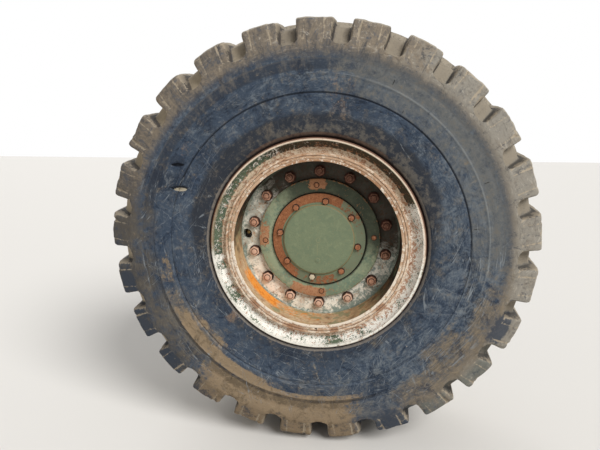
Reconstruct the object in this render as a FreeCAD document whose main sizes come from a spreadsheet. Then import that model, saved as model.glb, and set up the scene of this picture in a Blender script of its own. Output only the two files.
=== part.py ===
import FreeCAD, Part
import os
import re
import Sketcher

# Wheel of a loader on the end of its axle. The wheel turns about the Y axis: outboard is -Y, forward is
# +X, up is +Z. The origin is the centre of the spindle's flange face, which bolts to the axle housing.

# Driving sizes in millimetres, or in degrees where the name ends in _angle. A name with _at is a distance
# outboard of the spindle's flange face. Radii that build on each other are given as heights, walls and
# insets.
SIZES = (
    # rim
    ("bead_seat_radius", 317.5),
    ("bead_seat_width", 88),
    ("rim_half_width", 247.5),
    ("flange_height", 63.5),
    ("flange_wall", 11),
    ("flange_bend_radius", 31.5),
    ("flange_lip_width", 22),
    ("flange_back_drop", 19),
    ("flange_foot_height", 13.5),
    ("flange_foot_width", 17.5),
    ("flange_fit", 0.4),
    ("band_wall", 11.5),
    ("band_lip_height", 10.5),
    ("band_lip_width", 14),
    ("base_wall", 7.5),
    ("back_lip_width", 12),
    ("gutter_past_foot", 10.5),
    ("gutter_lip_height", 3),
    ("gutter_lip_width", 5.5),
    ("lock_groove_depth", 4),
    ("lock_groove_width", 11),
    ("lock_ring_height", 13),
    ("lock_ring_overhang", 1.5),
    ("lock_ring_gap", 9),
    ("lock_ring_fit", 0.2),
    # tyre
    ("tyre_crown_radius", 792),
    ("tyre_shoulder_drop", 25),
    ("tyre_shoulder_width", 43),
    ("tyre_buttress_drop", 108),
    ("tyre_tread_setback", 43.5),
    ("tyre_bulge", 46),
    ("tyre_guard_height", 28),
    ("tyre_bead_width", 25),
    ("tyre_bead_height", 42.5),
    ("tyre_tread_thickness", 62),
    ("lug_count", 25),
    ("lug_angle", 19.1),
    ("lug_groove_width", 64),
    ("lug_groove_depth", 38),
    ("lug_groove_length", 300),
    ("lug_groove_end_drop", 110),
    # disc and nuts
    ("disc_thickness", 24),
    ("disc_dish", 149),
    ("disc_web", 73),
    ("pilot_play", 0.5),
    ("nut_count", 14),
    ("nut_inset", 27.5),
    ("nut_across_flats", 33),
    ("nut_height", 19),
    ("hand_hole_radius", 19.5),
    ("hand_hole_inset", 20.5),
    ("hand_hole_angle", 178.5),
    ("hand_hole_notch_play", 4),
    # hub, planet carrier and cover
    ("hub_flange_at", 305),
    ("hub_flange_margin", 24),
    ("hub_flange_thickness", 28),
    ("hub_shell_setback", 20.5),
    ("hub_shell_wall", 27),
    ("hub_web_setback", 73),
    ("hub_neck_wall", 66),
    ("hub_neck_length", 88),
    ("hub_front_setback", 6),
    ("bearing_play", 0.05),
    ("carrier_thickness", 26),
    ("carrier_spigot", 36),
    ("carrier_screw_count", 4),
    ("carrier_screw_inset", 22.5),
    ("carrier_screw_angle", 93),
    ("carrier_screw_across_flats", 15),
    ("carrier_screw_height", 3),
    ("cover_setback", 53.5),
    ("cover_rim_thickness", 8),
    ("cover_dome_inset", 39),
    ("cover_dome_height", 12),
    ("cover_dome_chamfer", 4),
    ("cover_bolt_count", 8),
    ("cover_bolt_inset", 26),
    ("cover_bolt_angle", 80.6),
    ("cover_bolt_across_flats", 19),
    ("cover_bolt_height", 11),
    # spindle
    ("journal_radius", 82),
    ("spindle_neck_height", 30),
    ("spindle_neck_length", 26),
    ("spindle_flange_thickness", 30),
    ("spindle_flange_margin", 25),
    ("spindle_overrun", 30),
    ("spindle_bore_radius", 32),
    ("mount_hole_count", 8),
    ("mount_hole_setback", 28),
    ("mount_hole_radius", 11),
    ("hub_back_gap", 6),
    # brake
    ("brake_disc_room", 60.5),
    ("brake_disc_thickness", 14),
    ("brake_gap", 5),
    ("brake_disc_bolt_count", 8),
    ("brake_disc_bolt_inset", 12),
    ("brake_disc_bolt_across_flats", 18),
    ("brake_disc_bolt_height", 9),
    ("caliper_hub_gap", 30),
    ("caliper_length", 190),
    ("caliper_seat_drop", 13),
    ("caliper_seat_rise", 22),
    ("caliper_fit", 0.5),
    ("caliper_back_at", 9),
    ("caliper_bridge", 22),
    ("caliper_cheek", 34),
    ("caliper_chamfer", 18),
    ("caliper_ear_thickness", 18),
    ("caliper_ear_root_inset", 3),
    ("caliper_ear_root_angle", 38),
    ("caliper_bolt_spacing", 104),
    ("caliper_bolt_across_flats", 30),
    ("caliper_bolt_height", 12),
    # valve
    ("valve_setback", 43),
    ("valve_rise", 20),
    ("valve_tip_gap", 8),
    ("valve_stem_radius", 6),
    ("valve_elbow_radius", 10),
    ("valve_fit", 0.3),
)

# Radii and places that follow from the driving sizes, as expressions of them.
BASE_BORE = "(bead_seat_radius - band_wall - base_wall)"
BASE_RADIUS = "(bead_seat_radius - band_wall)"
FLANGE_LIP = "(bead_seat_radius + flange_height)"
FLANGE_FOOT = "(bead_seat_radius + flange_foot_height)"
FOOT_OUT = "(rim_half_width + flange_foot_width)"
GUTTER_OUT = f"({FOOT_OUT} + gutter_past_foot)"
GROOVE_END_OUT = f"({GUTTER_OUT} - gutter_lip_width)"
GROOVE_BACK_OUT = f"({GROOVE_END_OUT} - lock_groove_width)"
GROOVE_FLOOR = f"({BASE_RADIUS} - lock_groove_depth)"
GUTTER_LIP = f"({BASE_RADIUS} + gutter_lip_height)"
LOCK_RING = f"({BASE_RADIUS} + lock_ring_height)"

DISC_BACK = "hub_flange_at"
DISC_FACE = "(hub_flange_at + disc_thickness)"
WHEEL_CENTRE = f"({DISC_FACE} - disc_dish)"
PILOT = f"({BASE_BORE} - disc_web)"
NUT_CIRCLE = f"({PILOT} + nut_inset)"
HAND_HOLE_CIRCLE = f"({BASE_BORE} - hand_hole_inset)"

HUB_BACK = "(spindle_flange_thickness + spindle_neck_length + hub_back_gap)"
HUB_WEB = "(hub_flange_at - hub_web_setback)"
HUB_FRONT = f"({DISC_FACE} - hub_front_setback)"
HUB_BORE = "(journal_radius + bearing_play)"
HUB_NECK = "(journal_radius + hub_neck_wall)"
HUB_SHELL = f"({PILOT} - hub_shell_setback)"
HUB_CAVITY = f"({HUB_SHELL} - hub_shell_wall)"
CARRIER_FACE = f"({HUB_FRONT} + carrier_thickness)"
COVER = f"({PILOT} - cover_setback)"
COVER_RIM_FACE = f"({CARRIER_FACE} + cover_rim_thickness)"

SPINDLE_NECK = "(journal_radius + spindle_neck_height)"
MOUNT_CIRCLE = f"({SPINDLE_NECK} + mount_hole_setback)"
SPINDLE_FLANGE = f"({MOUNT_CIRCLE} + spindle_flange_margin)"
BRAKE_DISC = f"({BASE_BORE} - brake_disc_room)"
BRAKE_DISC_BACK = f"({HUB_BACK} - brake_disc_thickness)"
CALIPER_CHEEK = f"({HUB_NECK} + caliper_hub_gap)"
CALIPER_SEAT = f"({SPINDLE_FLANGE} - caliper_seat_drop)"
EAR_TOP = f"({CALIPER_CHEEK} + caliper_seat_rise)"

doc = FreeCAD.newDocument("loader_wheel")
Vector = FreeCAD.Vector
sheet = doc.addObject("Spreadsheet::Sheet", "Sizes")
for row, (alias, size) in enumerate(SIZES, start=1):
    sheet.set(f"A{row}", alias)
    sheet.set(f"B{row}", str(size))
    sheet.setAlias(f"B{row}", alias)
doc.recompute()


def linked(expression):
    """The expression with each size's name as the document writes it."""
    return re.sub(r"\b([a-z]+(?:_[a-z]+)+)\b", r"Sizes.\1", expression)


def value(expression):
    """What an expression of the sizes comes to."""
    return float(sheet.evalExpression(linked(expression)))


def bind(feature, **expressions):
    """Tie properties to expressions. Two underscores in a name stand for the dot of a nested property."""
    for name, expression in expressions.items():
        feature.setExpression(name.replace("__", "."), linked(expression))


def origin_feature(body, role):
    return next(f for f in body.Origin.OriginFeatures if f.Role == role)


def new_body(label):
    body = doc.addObject("PartDesign::Body", label)
    body.Label = label
    body.AllowCompound = True
    return body


def add(body, kind, name):
    """A new feature of a body, which becomes its tip if it makes a solid."""
    feature = body.newObject(kind, name)
    if kind.startswith("PartDesign"):
        body.Tip = feature
    return feature


def attach(body, feature, role, **offsets):
    """Attach a feature to one of its body's origin planes, with its offset from there in expressions."""
    feature.AttachmentSupport = [(origin_feature(body, role), "")]
    feature.MapMode = "FlatFace"
    bind(feature, **{f"AttachmentOffset__Base__{axis}": text for axis, text in offsets.items()})


def draw(sketch, corners):
    """Draw a closed outline through corners (x, y), which are expressions."""
    points = [Vector(value(x), value(y), 0) for x, y in corners]
    for start, end in zip(points, points[1:] + points[:1]):
        sketch.addGeometry(Part.LineSegment(start, end))
    for i, (corner, point) in enumerate(zip(corners, points)):
        sketch.addConstraint(Sketcher.Constraint("Coincident", (i - 1) % len(points), 2, i, 1))
        for kind, text, size in zip(("DistanceX", "DistanceY"), corner, point):
            number = sketch.addConstraint(Sketcher.Constraint(kind, -1, 1, i, 1, size))
            sketch.setExpression(f"Constraints[{number}]", linked(text))


def turned(label, outline):
    """A body turned about the wheel's axis from corners (radius, distance outboard)."""
    body = new_body(label)
    sketch = add(body, "Sketcher::SketchObject", label + "_outline")
    attach(body, sketch, "XY_Plane")
    draw(sketch, [(radius, f"-{at}") for radius, at in outline])
    turn = add(body, "PartDesign::Revolution", label + "_turn")
    turn.Profile = sketch
    turn.ReferenceAxis = (origin_feature(body, "Y_Axis"), [""])
    turn.Angle = 360
    return body


def outboard(out):
    """Place of what lies so far outboard of the wheel's centre plane."""
    return f"({WHEEL_CENTRE} + {out})"


def inboard(out):
    return f"({WHEEL_CENTRE} - {out})"


def placed(body, kind, name, circle, angle, at, **sizes):
    """A primitive that points outboard, at an angle on a circle about the axis, from a distance outboard."""
    feature = add(body, "PartDesign::" + kind, name)
    attach(body, feature, "XZ_Plane", x=f"{circle} * cos({angle})", y=f"{circle} * sin({angle})", z=at)
    bind(feature, **sizes)
    return feature


def repeated(body, feature, count):
    """Repeat a feature evenly about the wheel's axis."""
    doc.recompute()
    pattern = add(body, "PartDesign::PolarPattern", feature.Name + "_ring")
    pattern.Originals = [feature]
    pattern.Axis = (origin_feature(body, "Y_Axis"), [""])
    pattern.Angle = 360
    bind(pattern, Occurrences=count)


def hexagon(across_flats):
    return f"{across_flats} / sqrt(3)"


def ring_of_hexagons(label, circle, angle, at, across_flats, height, count):
    """A body of bolt heads or nuts on a circle, each a hexagonal prism that points outboard."""
    body = new_body(label)
    head = placed(
        body, "AdditivePrism", label + "_head", circle, angle, at,
        Circumradius=hexagon(across_flats), Height=height,
    )
    repeated(body, head, count)
    return body


# The rim is in five pieces. Its two flange rings are alike and face away from each other.
def flange_ring(label, side):
    """A flange ring: foot, wall, channel and lip. A corner at 45 degrees stands for the channel's bend."""
    wall_out = "(rim_half_width + flange_wall)"
    lip_out = f"({wall_out} + flange_bend_radius)"
    lip_bore = f"({FLANGE_LIP} - flange_wall)"
    return turned(label, (
        ("bead_seat_radius + flange_fit", side("rim_half_width")),
        ("bead_seat_radius + flange_fit", side(FOOT_OUT)),
        (FLANGE_FOOT, side(FOOT_OUT)),
        (f"{lip_bore} - flange_bend_radius", side(wall_out)),
        (
            f"{lip_bore} - flange_bend_radius * (1 - cos(45))",
            side(f"({lip_out} - flange_bend_radius * sin(45))"),
        ),
        (lip_bore, side(lip_out)),
        (FLANGE_LIP, side(lip_out)),
        (FLANGE_LIP, side(f"({lip_out} - flange_lip_width)")),
        (f"{lip_bore} - flange_back_drop", side("rim_half_width")),
    ))


flange_ring("outer_flange", outboard)
flange_ring("inner_flange", inboard)

turned("rim_base", (
    (BASE_BORE, outboard(GUTTER_OUT)),
    (BASE_BORE, inboard(f"({FOOT_OUT} + back_lip_width)")),
    (FLANGE_FOOT, inboard(f"({FOOT_OUT} + back_lip_width)")),
    (FLANGE_FOOT, inboard(FOOT_OUT)),
    ("bead_seat_radius", inboard(FOOT_OUT)),
    ("bead_seat_radius", inboard("(rim_half_width - bead_seat_width)")),
    (BASE_RADIUS, inboard("(rim_half_width - bead_seat_width)")),
    (BASE_RADIUS, outboard(GROOVE_BACK_OUT)),
    (GROOVE_FLOOR, outboard(GROOVE_BACK_OUT)),
    (GROOVE_FLOOR, outboard(GROOVE_END_OUT)),
    (GUTTER_LIP, outboard(GROOVE_END_OUT)),
    (GUTTER_LIP, outboard(GUTTER_OUT)),
))

# The band's recess and the lock ring's back have the same slope of 45 degrees.
RECESS_OUT = f"({GROOVE_BACK_OUT} + lock_ring_height)"
turned("bead_seat_band", (
    (BASE_RADIUS, outboard("(rim_half_width - bead_seat_width)")),
    (BASE_RADIUS, outboard(GROOVE_BACK_OUT)),
    (LOCK_RING, outboard(RECESS_OUT)),
    (LOCK_RING, outboard(f"({FOOT_OUT} + band_lip_width)")),
    ("bead_seat_radius + band_lip_height", outboard(f"({FOOT_OUT} + band_lip_width)")),
    ("bead_seat_radius + band_lip_height", outboard(FOOT_OUT)),
    ("bead_seat_radius", outboard(FOOT_OUT)),
    ("bead_seat_radius", outboard("(rim_half_width - bead_seat_width)")),
))

lock_ring = turned("lock_ring", (
    (GROOVE_FLOOR, outboard(f"({GROOVE_BACK_OUT} + lock_ring_fit)")),
    (f"{BASE_RADIUS} - lock_ring_fit", outboard(f"({GROOVE_BACK_OUT} + lock_ring_fit)")),
    (f"{LOCK_RING} - lock_ring_fit", outboard(f"({RECESS_OUT} + lock_ring_fit)")),
    (f"{LOCK_RING} - lock_ring_fit", outboard(f"({GUTTER_OUT} + lock_ring_overhang)")),
    (f"{GUTTER_LIP} + lock_ring_fit", outboard(f"({GUTTER_OUT} + lock_ring_overhang)")),
    (f"{GUTTER_LIP} + lock_ring_fit", outboard(f"({GROOVE_END_OUT} - lock_ring_fit)")),
    (GROOVE_FLOOR, outboard(f"({GROOVE_END_OUT} - lock_ring_fit)")),
))
lock_split = add(lock_ring, "PartDesign::SubtractiveBox", "lock_ring_split")
attach(
    lock_ring, lock_split, "XZ_Plane",
    x="-(lock_ring_gap / 2)", y=f"-{LOCK_RING}", z=outboard(GROOVE_BACK_OUT),
)
bind(
    lock_split, Length="lock_ring_gap", Width=f"{LOCK_RING} - {GROOVE_FLOOR} + lock_ring_gap",
    Height="lock_groove_width + gutter_lip_width + lock_ring_overhang",
)

# The tyre sits on the bead seats between the flanges and is hollow. Its lugs are what its grooves leave.
CROWN = "tyre_crown_radius"
SECTION_OUT = "(rim_half_width + tyre_bulge)"
TREAD_OUT = f"({SECTION_OUT} - tyre_tread_setback)"
CROWN_OUT = f"({TREAD_OUT} - tyre_shoulder_width)"
CAVITY_OUT = "(rim_half_width - tyre_bead_width)"


def tyre_side(side):
    """Corners of one side of the tyre, from the bead's toe over the sidewall to the edge of the crown."""
    return (
        ("bead_seat_radius", side(CAVITY_OUT)),
        ("bead_seat_radius", side("rim_half_width")),
        ("bead_seat_radius + tyre_bead_height", side("rim_half_width")),
        (f"{FLANGE_LIP} + tyre_guard_height", side(SECTION_OUT)),
        (f"{CROWN} - tyre_buttress_drop", side(SECTION_OUT)),
        (f"{CROWN} - tyre_shoulder_drop", side(TREAD_OUT)),
        (CROWN, side(CROWN_OUT)),
    )


tyre = turned("tyre", (
    *tyre_side(outboard),
    *reversed(tyre_side(inboard)),
    (f"{CROWN} - tyre_tread_thickness", inboard(CAVITY_OUT)),
    (f"{CROWN} - tyre_tread_thickness", outboard(CAVITY_OUT)),
))


def lug_grooves(name, side, angle):
    """Cut the grooves of one shoulder, from past the tread's middle to where their floors leave the side."""
    sketch = add(tyre, "Sketcher::SketchObject", name + "_outline")
    sketch.AttachmentOffset = FreeCAD.Placement(Vector(), FreeCAD.Rotation(Vector(0, -1, 0), 1))
    attach(tyre, sketch, "XY_Plane")
    bind(sketch, AttachmentOffset__Rotation__Angle=angle)
    floor = f"({CROWN} - lug_groove_depth)"
    above = f"({CROWN} + lug_groove_depth)"
    end_out = f"({TREAD_OUT} - lug_groove_length)"
    draw(sketch, [(radius, f"-{side(out)}") for radius, out in (
        (floor, end_out),
        (floor, CROWN_OUT),
        (f"{CROWN} - lug_groove_end_drop", SECTION_OUT),
        (above, SECTION_OUT),
        (above, end_out),
    )])
    groove = add(tyre, "PartDesign::Pocket", name)
    groove.Profile = sketch
    groove.Midplane = True
    bind(groove, Length="lug_groove_width")
    repeated(tyre, groove, "lug_count")


lug_grooves("outer_groove", outboard, "lug_angle - 180 / lug_count")
lug_grooves("inner_groove", inboard, "lug_angle")

disc = turned("wheel_disc", (
    (f"{PILOT} + pilot_play", DISC_BACK),
    (f"{PILOT} + pilot_play", DISC_FACE),
    (BASE_BORE, DISC_FACE),
    (BASE_BORE, DISC_BACK),
))
placed(
    disc, "SubtractiveCylinder", "hand_hole", HAND_HOLE_CIRCLE, "hand_hole_angle", DISC_BACK,
    Radius="hand_hole_radius", Height="disc_thickness",
)
ring_of_hexagons("wheel_nuts", NUT_CIRCLE, "90", DISC_FACE, "nut_across_flats", "nut_height", "nut_count")


# The hub turns on the spindle's journal, which stands for its two bearings. The disc is centred on the
# hub's pilot.
HUB_FLANGE_BACK = "(hub_flange_at - hub_flange_thickness)"
hub = turned("hub", (
    (HUB_BORE, HUB_BACK),
    (HUB_NECK, HUB_BACK),
    (HUB_NECK, f"({HUB_BACK} + hub_neck_length)"),
    (HUB_SHELL, HUB_WEB),
    (HUB_SHELL, HUB_FLANGE_BACK),
    (f"{NUT_CIRCLE} + hub_flange_margin", HUB_FLANGE_BACK),
    (f"{NUT_CIRCLE} + hub_flange_margin", DISC_BACK),
    (PILOT, DISC_BACK),
    (PILOT, HUB_FRONT),
    (HUB_CAVITY, HUB_FRONT),
    (HUB_CAVITY, HUB_WEB),
    (HUB_BORE, HUB_WEB),
))
placed(
    hub, "SubtractiveCylinder", "hand_hole_notch", HAND_HOLE_CIRCLE, "hand_hole_angle", HUB_FLANGE_BACK,
    Radius="hand_hole_radius + hand_hole_notch_play", Height="hub_flange_thickness",
)

turned("planet_carrier", (
    ("0", f"({HUB_FRONT} - carrier_spigot)"),
    (f"{HUB_CAVITY} - pilot_play", f"({HUB_FRONT} - carrier_spigot)"),
    (f"{HUB_CAVITY} - pilot_play", HUB_FRONT),
    (PILOT, HUB_FRONT),
    (PILOT, CARRIER_FACE),
    ("0", CARRIER_FACE),
))
ring_of_hexagons(
    "carrier_screws", f"({PILOT} - carrier_screw_inset)", "carrier_screw_angle", CARRIER_FACE,
    "carrier_screw_across_flats", "carrier_screw_height", "carrier_screw_count",
)

DOME = f"({COVER} - cover_dome_inset)"
DOME_FACE = f"({COVER_RIM_FACE} + cover_dome_height)"
turned("hub_cover", (
    ("0", CARRIER_FACE),
    (COVER, CARRIER_FACE),
    (COVER, COVER_RIM_FACE),
    (DOME, COVER_RIM_FACE),
    (DOME, f"({DOME_FACE} - cover_dome_chamfer)"),
    (f"{DOME} - cover_dome_chamfer", DOME_FACE),
    ("0", DOME_FACE),
))
ring_of_hexagons(
    "cover_bolts", f"({COVER} - cover_bolt_inset)", "cover_bolt_angle", COVER_RIM_FACE,
    "cover_bolt_across_flats", "cover_bolt_height", "cover_bolt_count",
)

spindle = turned("spindle", (
    ("spindle_bore_radius", "(0)"),
    (SPINDLE_FLANGE, "(0)"),
    (SPINDLE_FLANGE, "spindle_flange_thickness"),
    (SPINDLE_NECK, "spindle_flange_thickness"),
    (SPINDLE_NECK, f"({HUB_BACK} - hub_back_gap)"),
    ("journal_radius", f"({HUB_BACK} - hub_back_gap)"),
    ("journal_radius", f"({HUB_WEB} + spindle_overrun)"),
    ("spindle_bore_radius", f"({HUB_WEB} + spindle_overrun)"),
))
EAR_BACK = "(spindle_flange_thickness - caliper_ear_thickness)"
EAR_ROOT = f"({SPINDLE_FLANGE} - caliper_ear_root_inset)"
ear_outline = add(spindle, "Sketcher::SketchObject", "caliper_ear_outline")
attach(spindle, ear_outline, "XZ_Plane", z=EAR_BACK)
draw(ear_outline, (
    ("-(caliper_length / 2)", f"{EAR_TOP} - caliper_fit"),
    ("-(caliper_length / 2)", CALIPER_SEAT),
    (f"-({EAR_ROOT} * cos(caliper_ear_root_angle))", f"{EAR_ROOT} * sin(caliper_ear_root_angle)"),
    (f"{EAR_ROOT} * cos(caliper_ear_root_angle)", f"{EAR_ROOT} * sin(caliper_ear_root_angle)"),
    ("caliper_length / 2", CALIPER_SEAT),
    ("caliper_length / 2", f"{EAR_TOP} - caliper_fit"),
))
ear = add(spindle, "PartDesign::Pad", "caliper_ear")
ear.Profile = ear_outline
bind(ear, Length="caliper_ear_thickness")
mount_hole = placed(
    spindle, "SubtractiveCylinder", "mount_hole", MOUNT_CIRCLE, "90 + 180 / mount_hole_count", "0",
    Radius="mount_hole_radius", Height="spindle_flange_thickness",
)
repeated(spindle, mount_hole, "mount_hole_count")

# The brake disc is bolted to the hub's inboard face, and the caliper on the spindle's ear straddles its top.
turned("brake_disc", (
    (f"{SPINDLE_NECK} + hub_back_gap", BRAKE_DISC_BACK),
    (BRAKE_DISC, BRAKE_DISC_BACK),
    (BRAKE_DISC, HUB_BACK),
    (f"{SPINDLE_NECK} + hub_back_gap", HUB_BACK),
))
ring_of_hexagons(
    "brake_disc_bolts", f"({HUB_NECK} - brake_disc_bolt_inset)", "0",
    f"({BRAKE_DISC_BACK} - brake_disc_bolt_height)",
    "brake_disc_bolt_across_flats", "brake_disc_bolt_height", "brake_disc_bolt_count",
)

SLOT_TOP = f"({BRAKE_DISC} + brake_gap)"
BRIDGE_TOP = f"({SLOT_TOP} + caliper_bridge)"
SLOT_OUTBOARD = f"({HUB_BACK} + brake_gap)"
SLOT_INBOARD = f"({BRAKE_DISC_BACK} - brake_gap)"
CHEEK_FACE = f"({SLOT_OUTBOARD} + caliper_cheek)"
caliper = new_body("brake_caliper")
caliper_outline = add(caliper, "Sketcher::SketchObject", "brake_caliper_outline")
attach(caliper, caliper_outline, "YZ_Plane")
draw(caliper_outline, [(f"-{at}", radius) for at, radius in (
    ("spindle_flange_thickness", CALIPER_SEAT),
    ("spindle_flange_thickness", EAR_TOP),
    ("caliper_back_at", EAR_TOP),
    ("caliper_back_at", BRIDGE_TOP),
    (f"({CHEEK_FACE} - caliper_chamfer)", BRIDGE_TOP),
    (CHEEK_FACE, f"{BRIDGE_TOP} - caliper_chamfer"),
    (CHEEK_FACE, CALIPER_CHEEK),
    (SLOT_OUTBOARD, CALIPER_CHEEK),
    (SLOT_OUTBOARD, SLOT_TOP),
    (SLOT_INBOARD, SLOT_TOP),
    (SLOT_INBOARD, CALIPER_SEAT),
)])
caliper_pad = add(caliper, "PartDesign::Pad", "brake_caliper_pad")
caliper_pad.Profile = caliper_outline
caliper_pad.Midplane = True
bind(caliper_pad, Length="caliper_length")

caliper_bolts = new_body("caliper_bolts")
for name, side in (("front_bolt", ""), ("rear_bolt", "-")):
    bolt = add(caliper_bolts, "PartDesign::AdditivePrism", name)
    attach(
        caliper_bolts, bolt, "XZ_Plane", x=f"{side}(caliper_bolt_spacing / 2)",
        y=f"{SPINDLE_FLANGE} + caliper_bolt_across_flats / 2 + caliper_fit",
        z=f"{EAR_BACK} - caliper_bolt_height",
    )
    bind(bolt, Circumradius=hexagon("caliper_bolt_across_flats"), Height="caliper_bolt_height")

# The valve comes out of the rim base behind the disc and turns towards the hand hole.
valve = new_body("valve_stem")
VALVE_AT = "(hub_flange_at - valve_setback)"
elbow = add(valve, "PartDesign::AdditivePrism", "valve_elbow")
attach(
    valve, elbow, "YZ_Plane", x=f"-{VALVE_AT}", y="0",
    z=f"valve_fit - sqrt({BASE_BORE}^2 - valve_elbow_radius^2)",
)
bind(elbow, Circumradius="valve_elbow_radius", Height="valve_rise + valve_elbow_radius")
placed(
    valve, "AdditiveCylinder", "valve_tube", f"({BASE_BORE} - valve_rise)", "180", VALVE_AT,
    Radius="valve_stem_radius", Height="valve_setback - valve_tip_gap",
)
valve.Placement = FreeCAD.Placement(Vector(), FreeCAD.Rotation(Vector(0, -1, 0), 1))
bind(valve, Placement__Rotation__Angle="hand_hole_angle - 180")

doc.recompute()
for item in doc.Objects:
    if "Invalid" in item.State or "Error" in item.State:
        raise RuntimeError(f"{item.Label} failed: {item.State}")
os.makedirs("parts", exist_ok=True)
for body in doc.findObjects("PartDesign::Body"):
    if body.Shape.isNull() or not body.Shape.isValid():
        raise RuntimeError(f"{body.Label} has no valid shape")
    body.Shape.exportStep(f"parts/{body.Label}.step")
    print(body.Label, len(body.Shape.Solids), "solids,", round(body.Shape.Volume / 1e6, 3), "litres")
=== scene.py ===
import bmesh
import bpy
from math import atan2, cos, degrees, pi, radians, sin
from mathutils import Matrix, Vector, noise


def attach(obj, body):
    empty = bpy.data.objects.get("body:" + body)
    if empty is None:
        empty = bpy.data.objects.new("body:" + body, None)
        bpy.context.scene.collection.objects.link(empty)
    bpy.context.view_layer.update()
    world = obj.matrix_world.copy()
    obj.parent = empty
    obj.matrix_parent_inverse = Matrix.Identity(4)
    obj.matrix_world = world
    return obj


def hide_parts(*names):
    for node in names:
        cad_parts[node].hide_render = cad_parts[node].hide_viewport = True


# Wheel of a loader on its axle end. It turns about the Y axis: outboard is -Y, forward is +X, up is +Z.
# Lengths are millimetres until a mesh is made. "at" is a distance outboard of the spindle's flange face, and
# "out" a distance to either side of the wheel's centre plane. Angles are degrees from +X towards +Z.
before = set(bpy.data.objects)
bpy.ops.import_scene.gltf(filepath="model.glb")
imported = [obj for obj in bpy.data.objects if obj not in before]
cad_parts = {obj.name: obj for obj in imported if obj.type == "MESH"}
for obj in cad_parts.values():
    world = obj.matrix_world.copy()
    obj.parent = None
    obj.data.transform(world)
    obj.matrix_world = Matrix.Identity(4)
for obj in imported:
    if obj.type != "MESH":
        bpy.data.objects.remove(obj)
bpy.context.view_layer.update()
MM = 0.001

WHEEL_CENTRE = 180
RIM_BORE = 298.5
BASE_RADIUS = 306
BEAD_SEAT = 317.5
RIM_HALF_WIDTH = 247.5
FLANGE_LIP = 381
FLANGE_WALL = 11
FLANGE_BEND = 31.5
FLANGE_FOOT = 331
FOOT_OUT = 265
GUTTER_OUT = 275.5
GROOVE_OUT = (259, 270)
GROOVE_FLOOR = 302
LOCK_RING = 318.8
SEAT_END = 159.5
GUTTER = 309
BAND_LIP = 328
BAND_OUT = 279

CROWN = 792
LUGS = 25
PITCH = 360 / LUGS
INNER_GROOVE_ANGLE = 19.1
OUTER_GROOVE_ANGLE = INNER_GROOVE_ANGLE - PITCH / 2
GROOVE_HALF_WIDTH = 32
GROOVE_PAST_MIDDLE = 16
BEAD_TOE = 195
CAVITY = 690

DISC_BACK = 305
DISC_FACE = 329
PILOT = 225.5
NUT_CIRCLE = 253
NUTS = 14
HAND_HOLE = (278, 178.5, 19.5)

HUB_BACK = 62
HUB_FRONT = 323
HUB_CAVITY = 178
CARRIER_FACE = 349
COVER = 172
COVER_RIM_FACE = 357
COVER_BOLT_CIRCLE = COVER - 26
DOME = 133
DOME_FACE = 369

BRAKE_DISC = (118, 238)
BRAKE_DISC_BACK = 48

SAME_POINT = 0.002
CREASE = 32
DRILL_DEPTH = 40


def spot(radius, at, angle=0):
    """A point at a radius and angle about the wheel's axis, a distance outboard."""
    turn = radians(angle)
    return Vector((radius * cos(turn), -at, radius * sin(turn))) * MM


def around(count, first=0):
    """The angles of pieces that stand evenly spaced on a circle."""
    return [first + 360 / count * i for i in range(count)]


COVER_BOLT_ANGLES = around(8, 80.6)
COVER_PLUG = Vector((-3, -DOME_FACE, -78)) * MM


def rgb(red, green, blue):
    """A colour as a screen shows it, turned into the linear values that shaders mix."""
    linear = [(c / 255 / 12.92) if c <= 10 else ((c / 255 + 0.055) / 1.055) ** 2.4 for c in (red, green, blue)]
    return (*linear, 1)


# Finishes


class Pattern:
    """A number that varies over a surface, with the arithmetic that masks are made from."""

    def __init__(self, finish, socket):
        self.finish = finish
        self.socket = socket

    def __add__(self, other):
        return self.finish.math("ADD", self, other)

    def __sub__(self, other):
        return self.finish.math("SUBTRACT", self, other)

    def __rsub__(self, other):
        return self.finish.math("SUBTRACT", other, self)

    def __mul__(self, other):
        return self.finish.math("MULTIPLY", self, other)

    def __or__(self, other):
        return self.finish.math("MAXIMUM", self, other)

    __radd__ = __add__
    __rmul__ = __mul__

    def rise(self, low, high):
        """0 where the pattern is at low, 1 where it is at high, with a soft slope between."""
        node = self.finish.node("ShaderNodeMapRange", interpolation_type="SMOOTHSTEP")
        self.finish.feed(node.inputs["Value"], self)
        self.finish.feed(node.inputs["From Min"], low)
        self.finish.feed(node.inputs["From Max"], high)
        return Pattern(self.finish, node.outputs["Result"])

    def band(self, low, high, soft):
        """1 between low and high, with soft ends."""
        return self.rise(low - soft, low + soft) * self.rise(high + soft, high - soft)

    def swing(self, strength=1):
        """The pattern about 0 instead of its mean of 0.5, and this many times as strong."""
        about_zero = self - 0.5
        return about_zero if strength == 1 else about_zero * strength

    def line(self, level, width):
        """1 along the thin line where the pattern passes a level."""
        return self.finish.math("ABSOLUTE", self - level).rise(width, width * 0.3)


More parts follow.
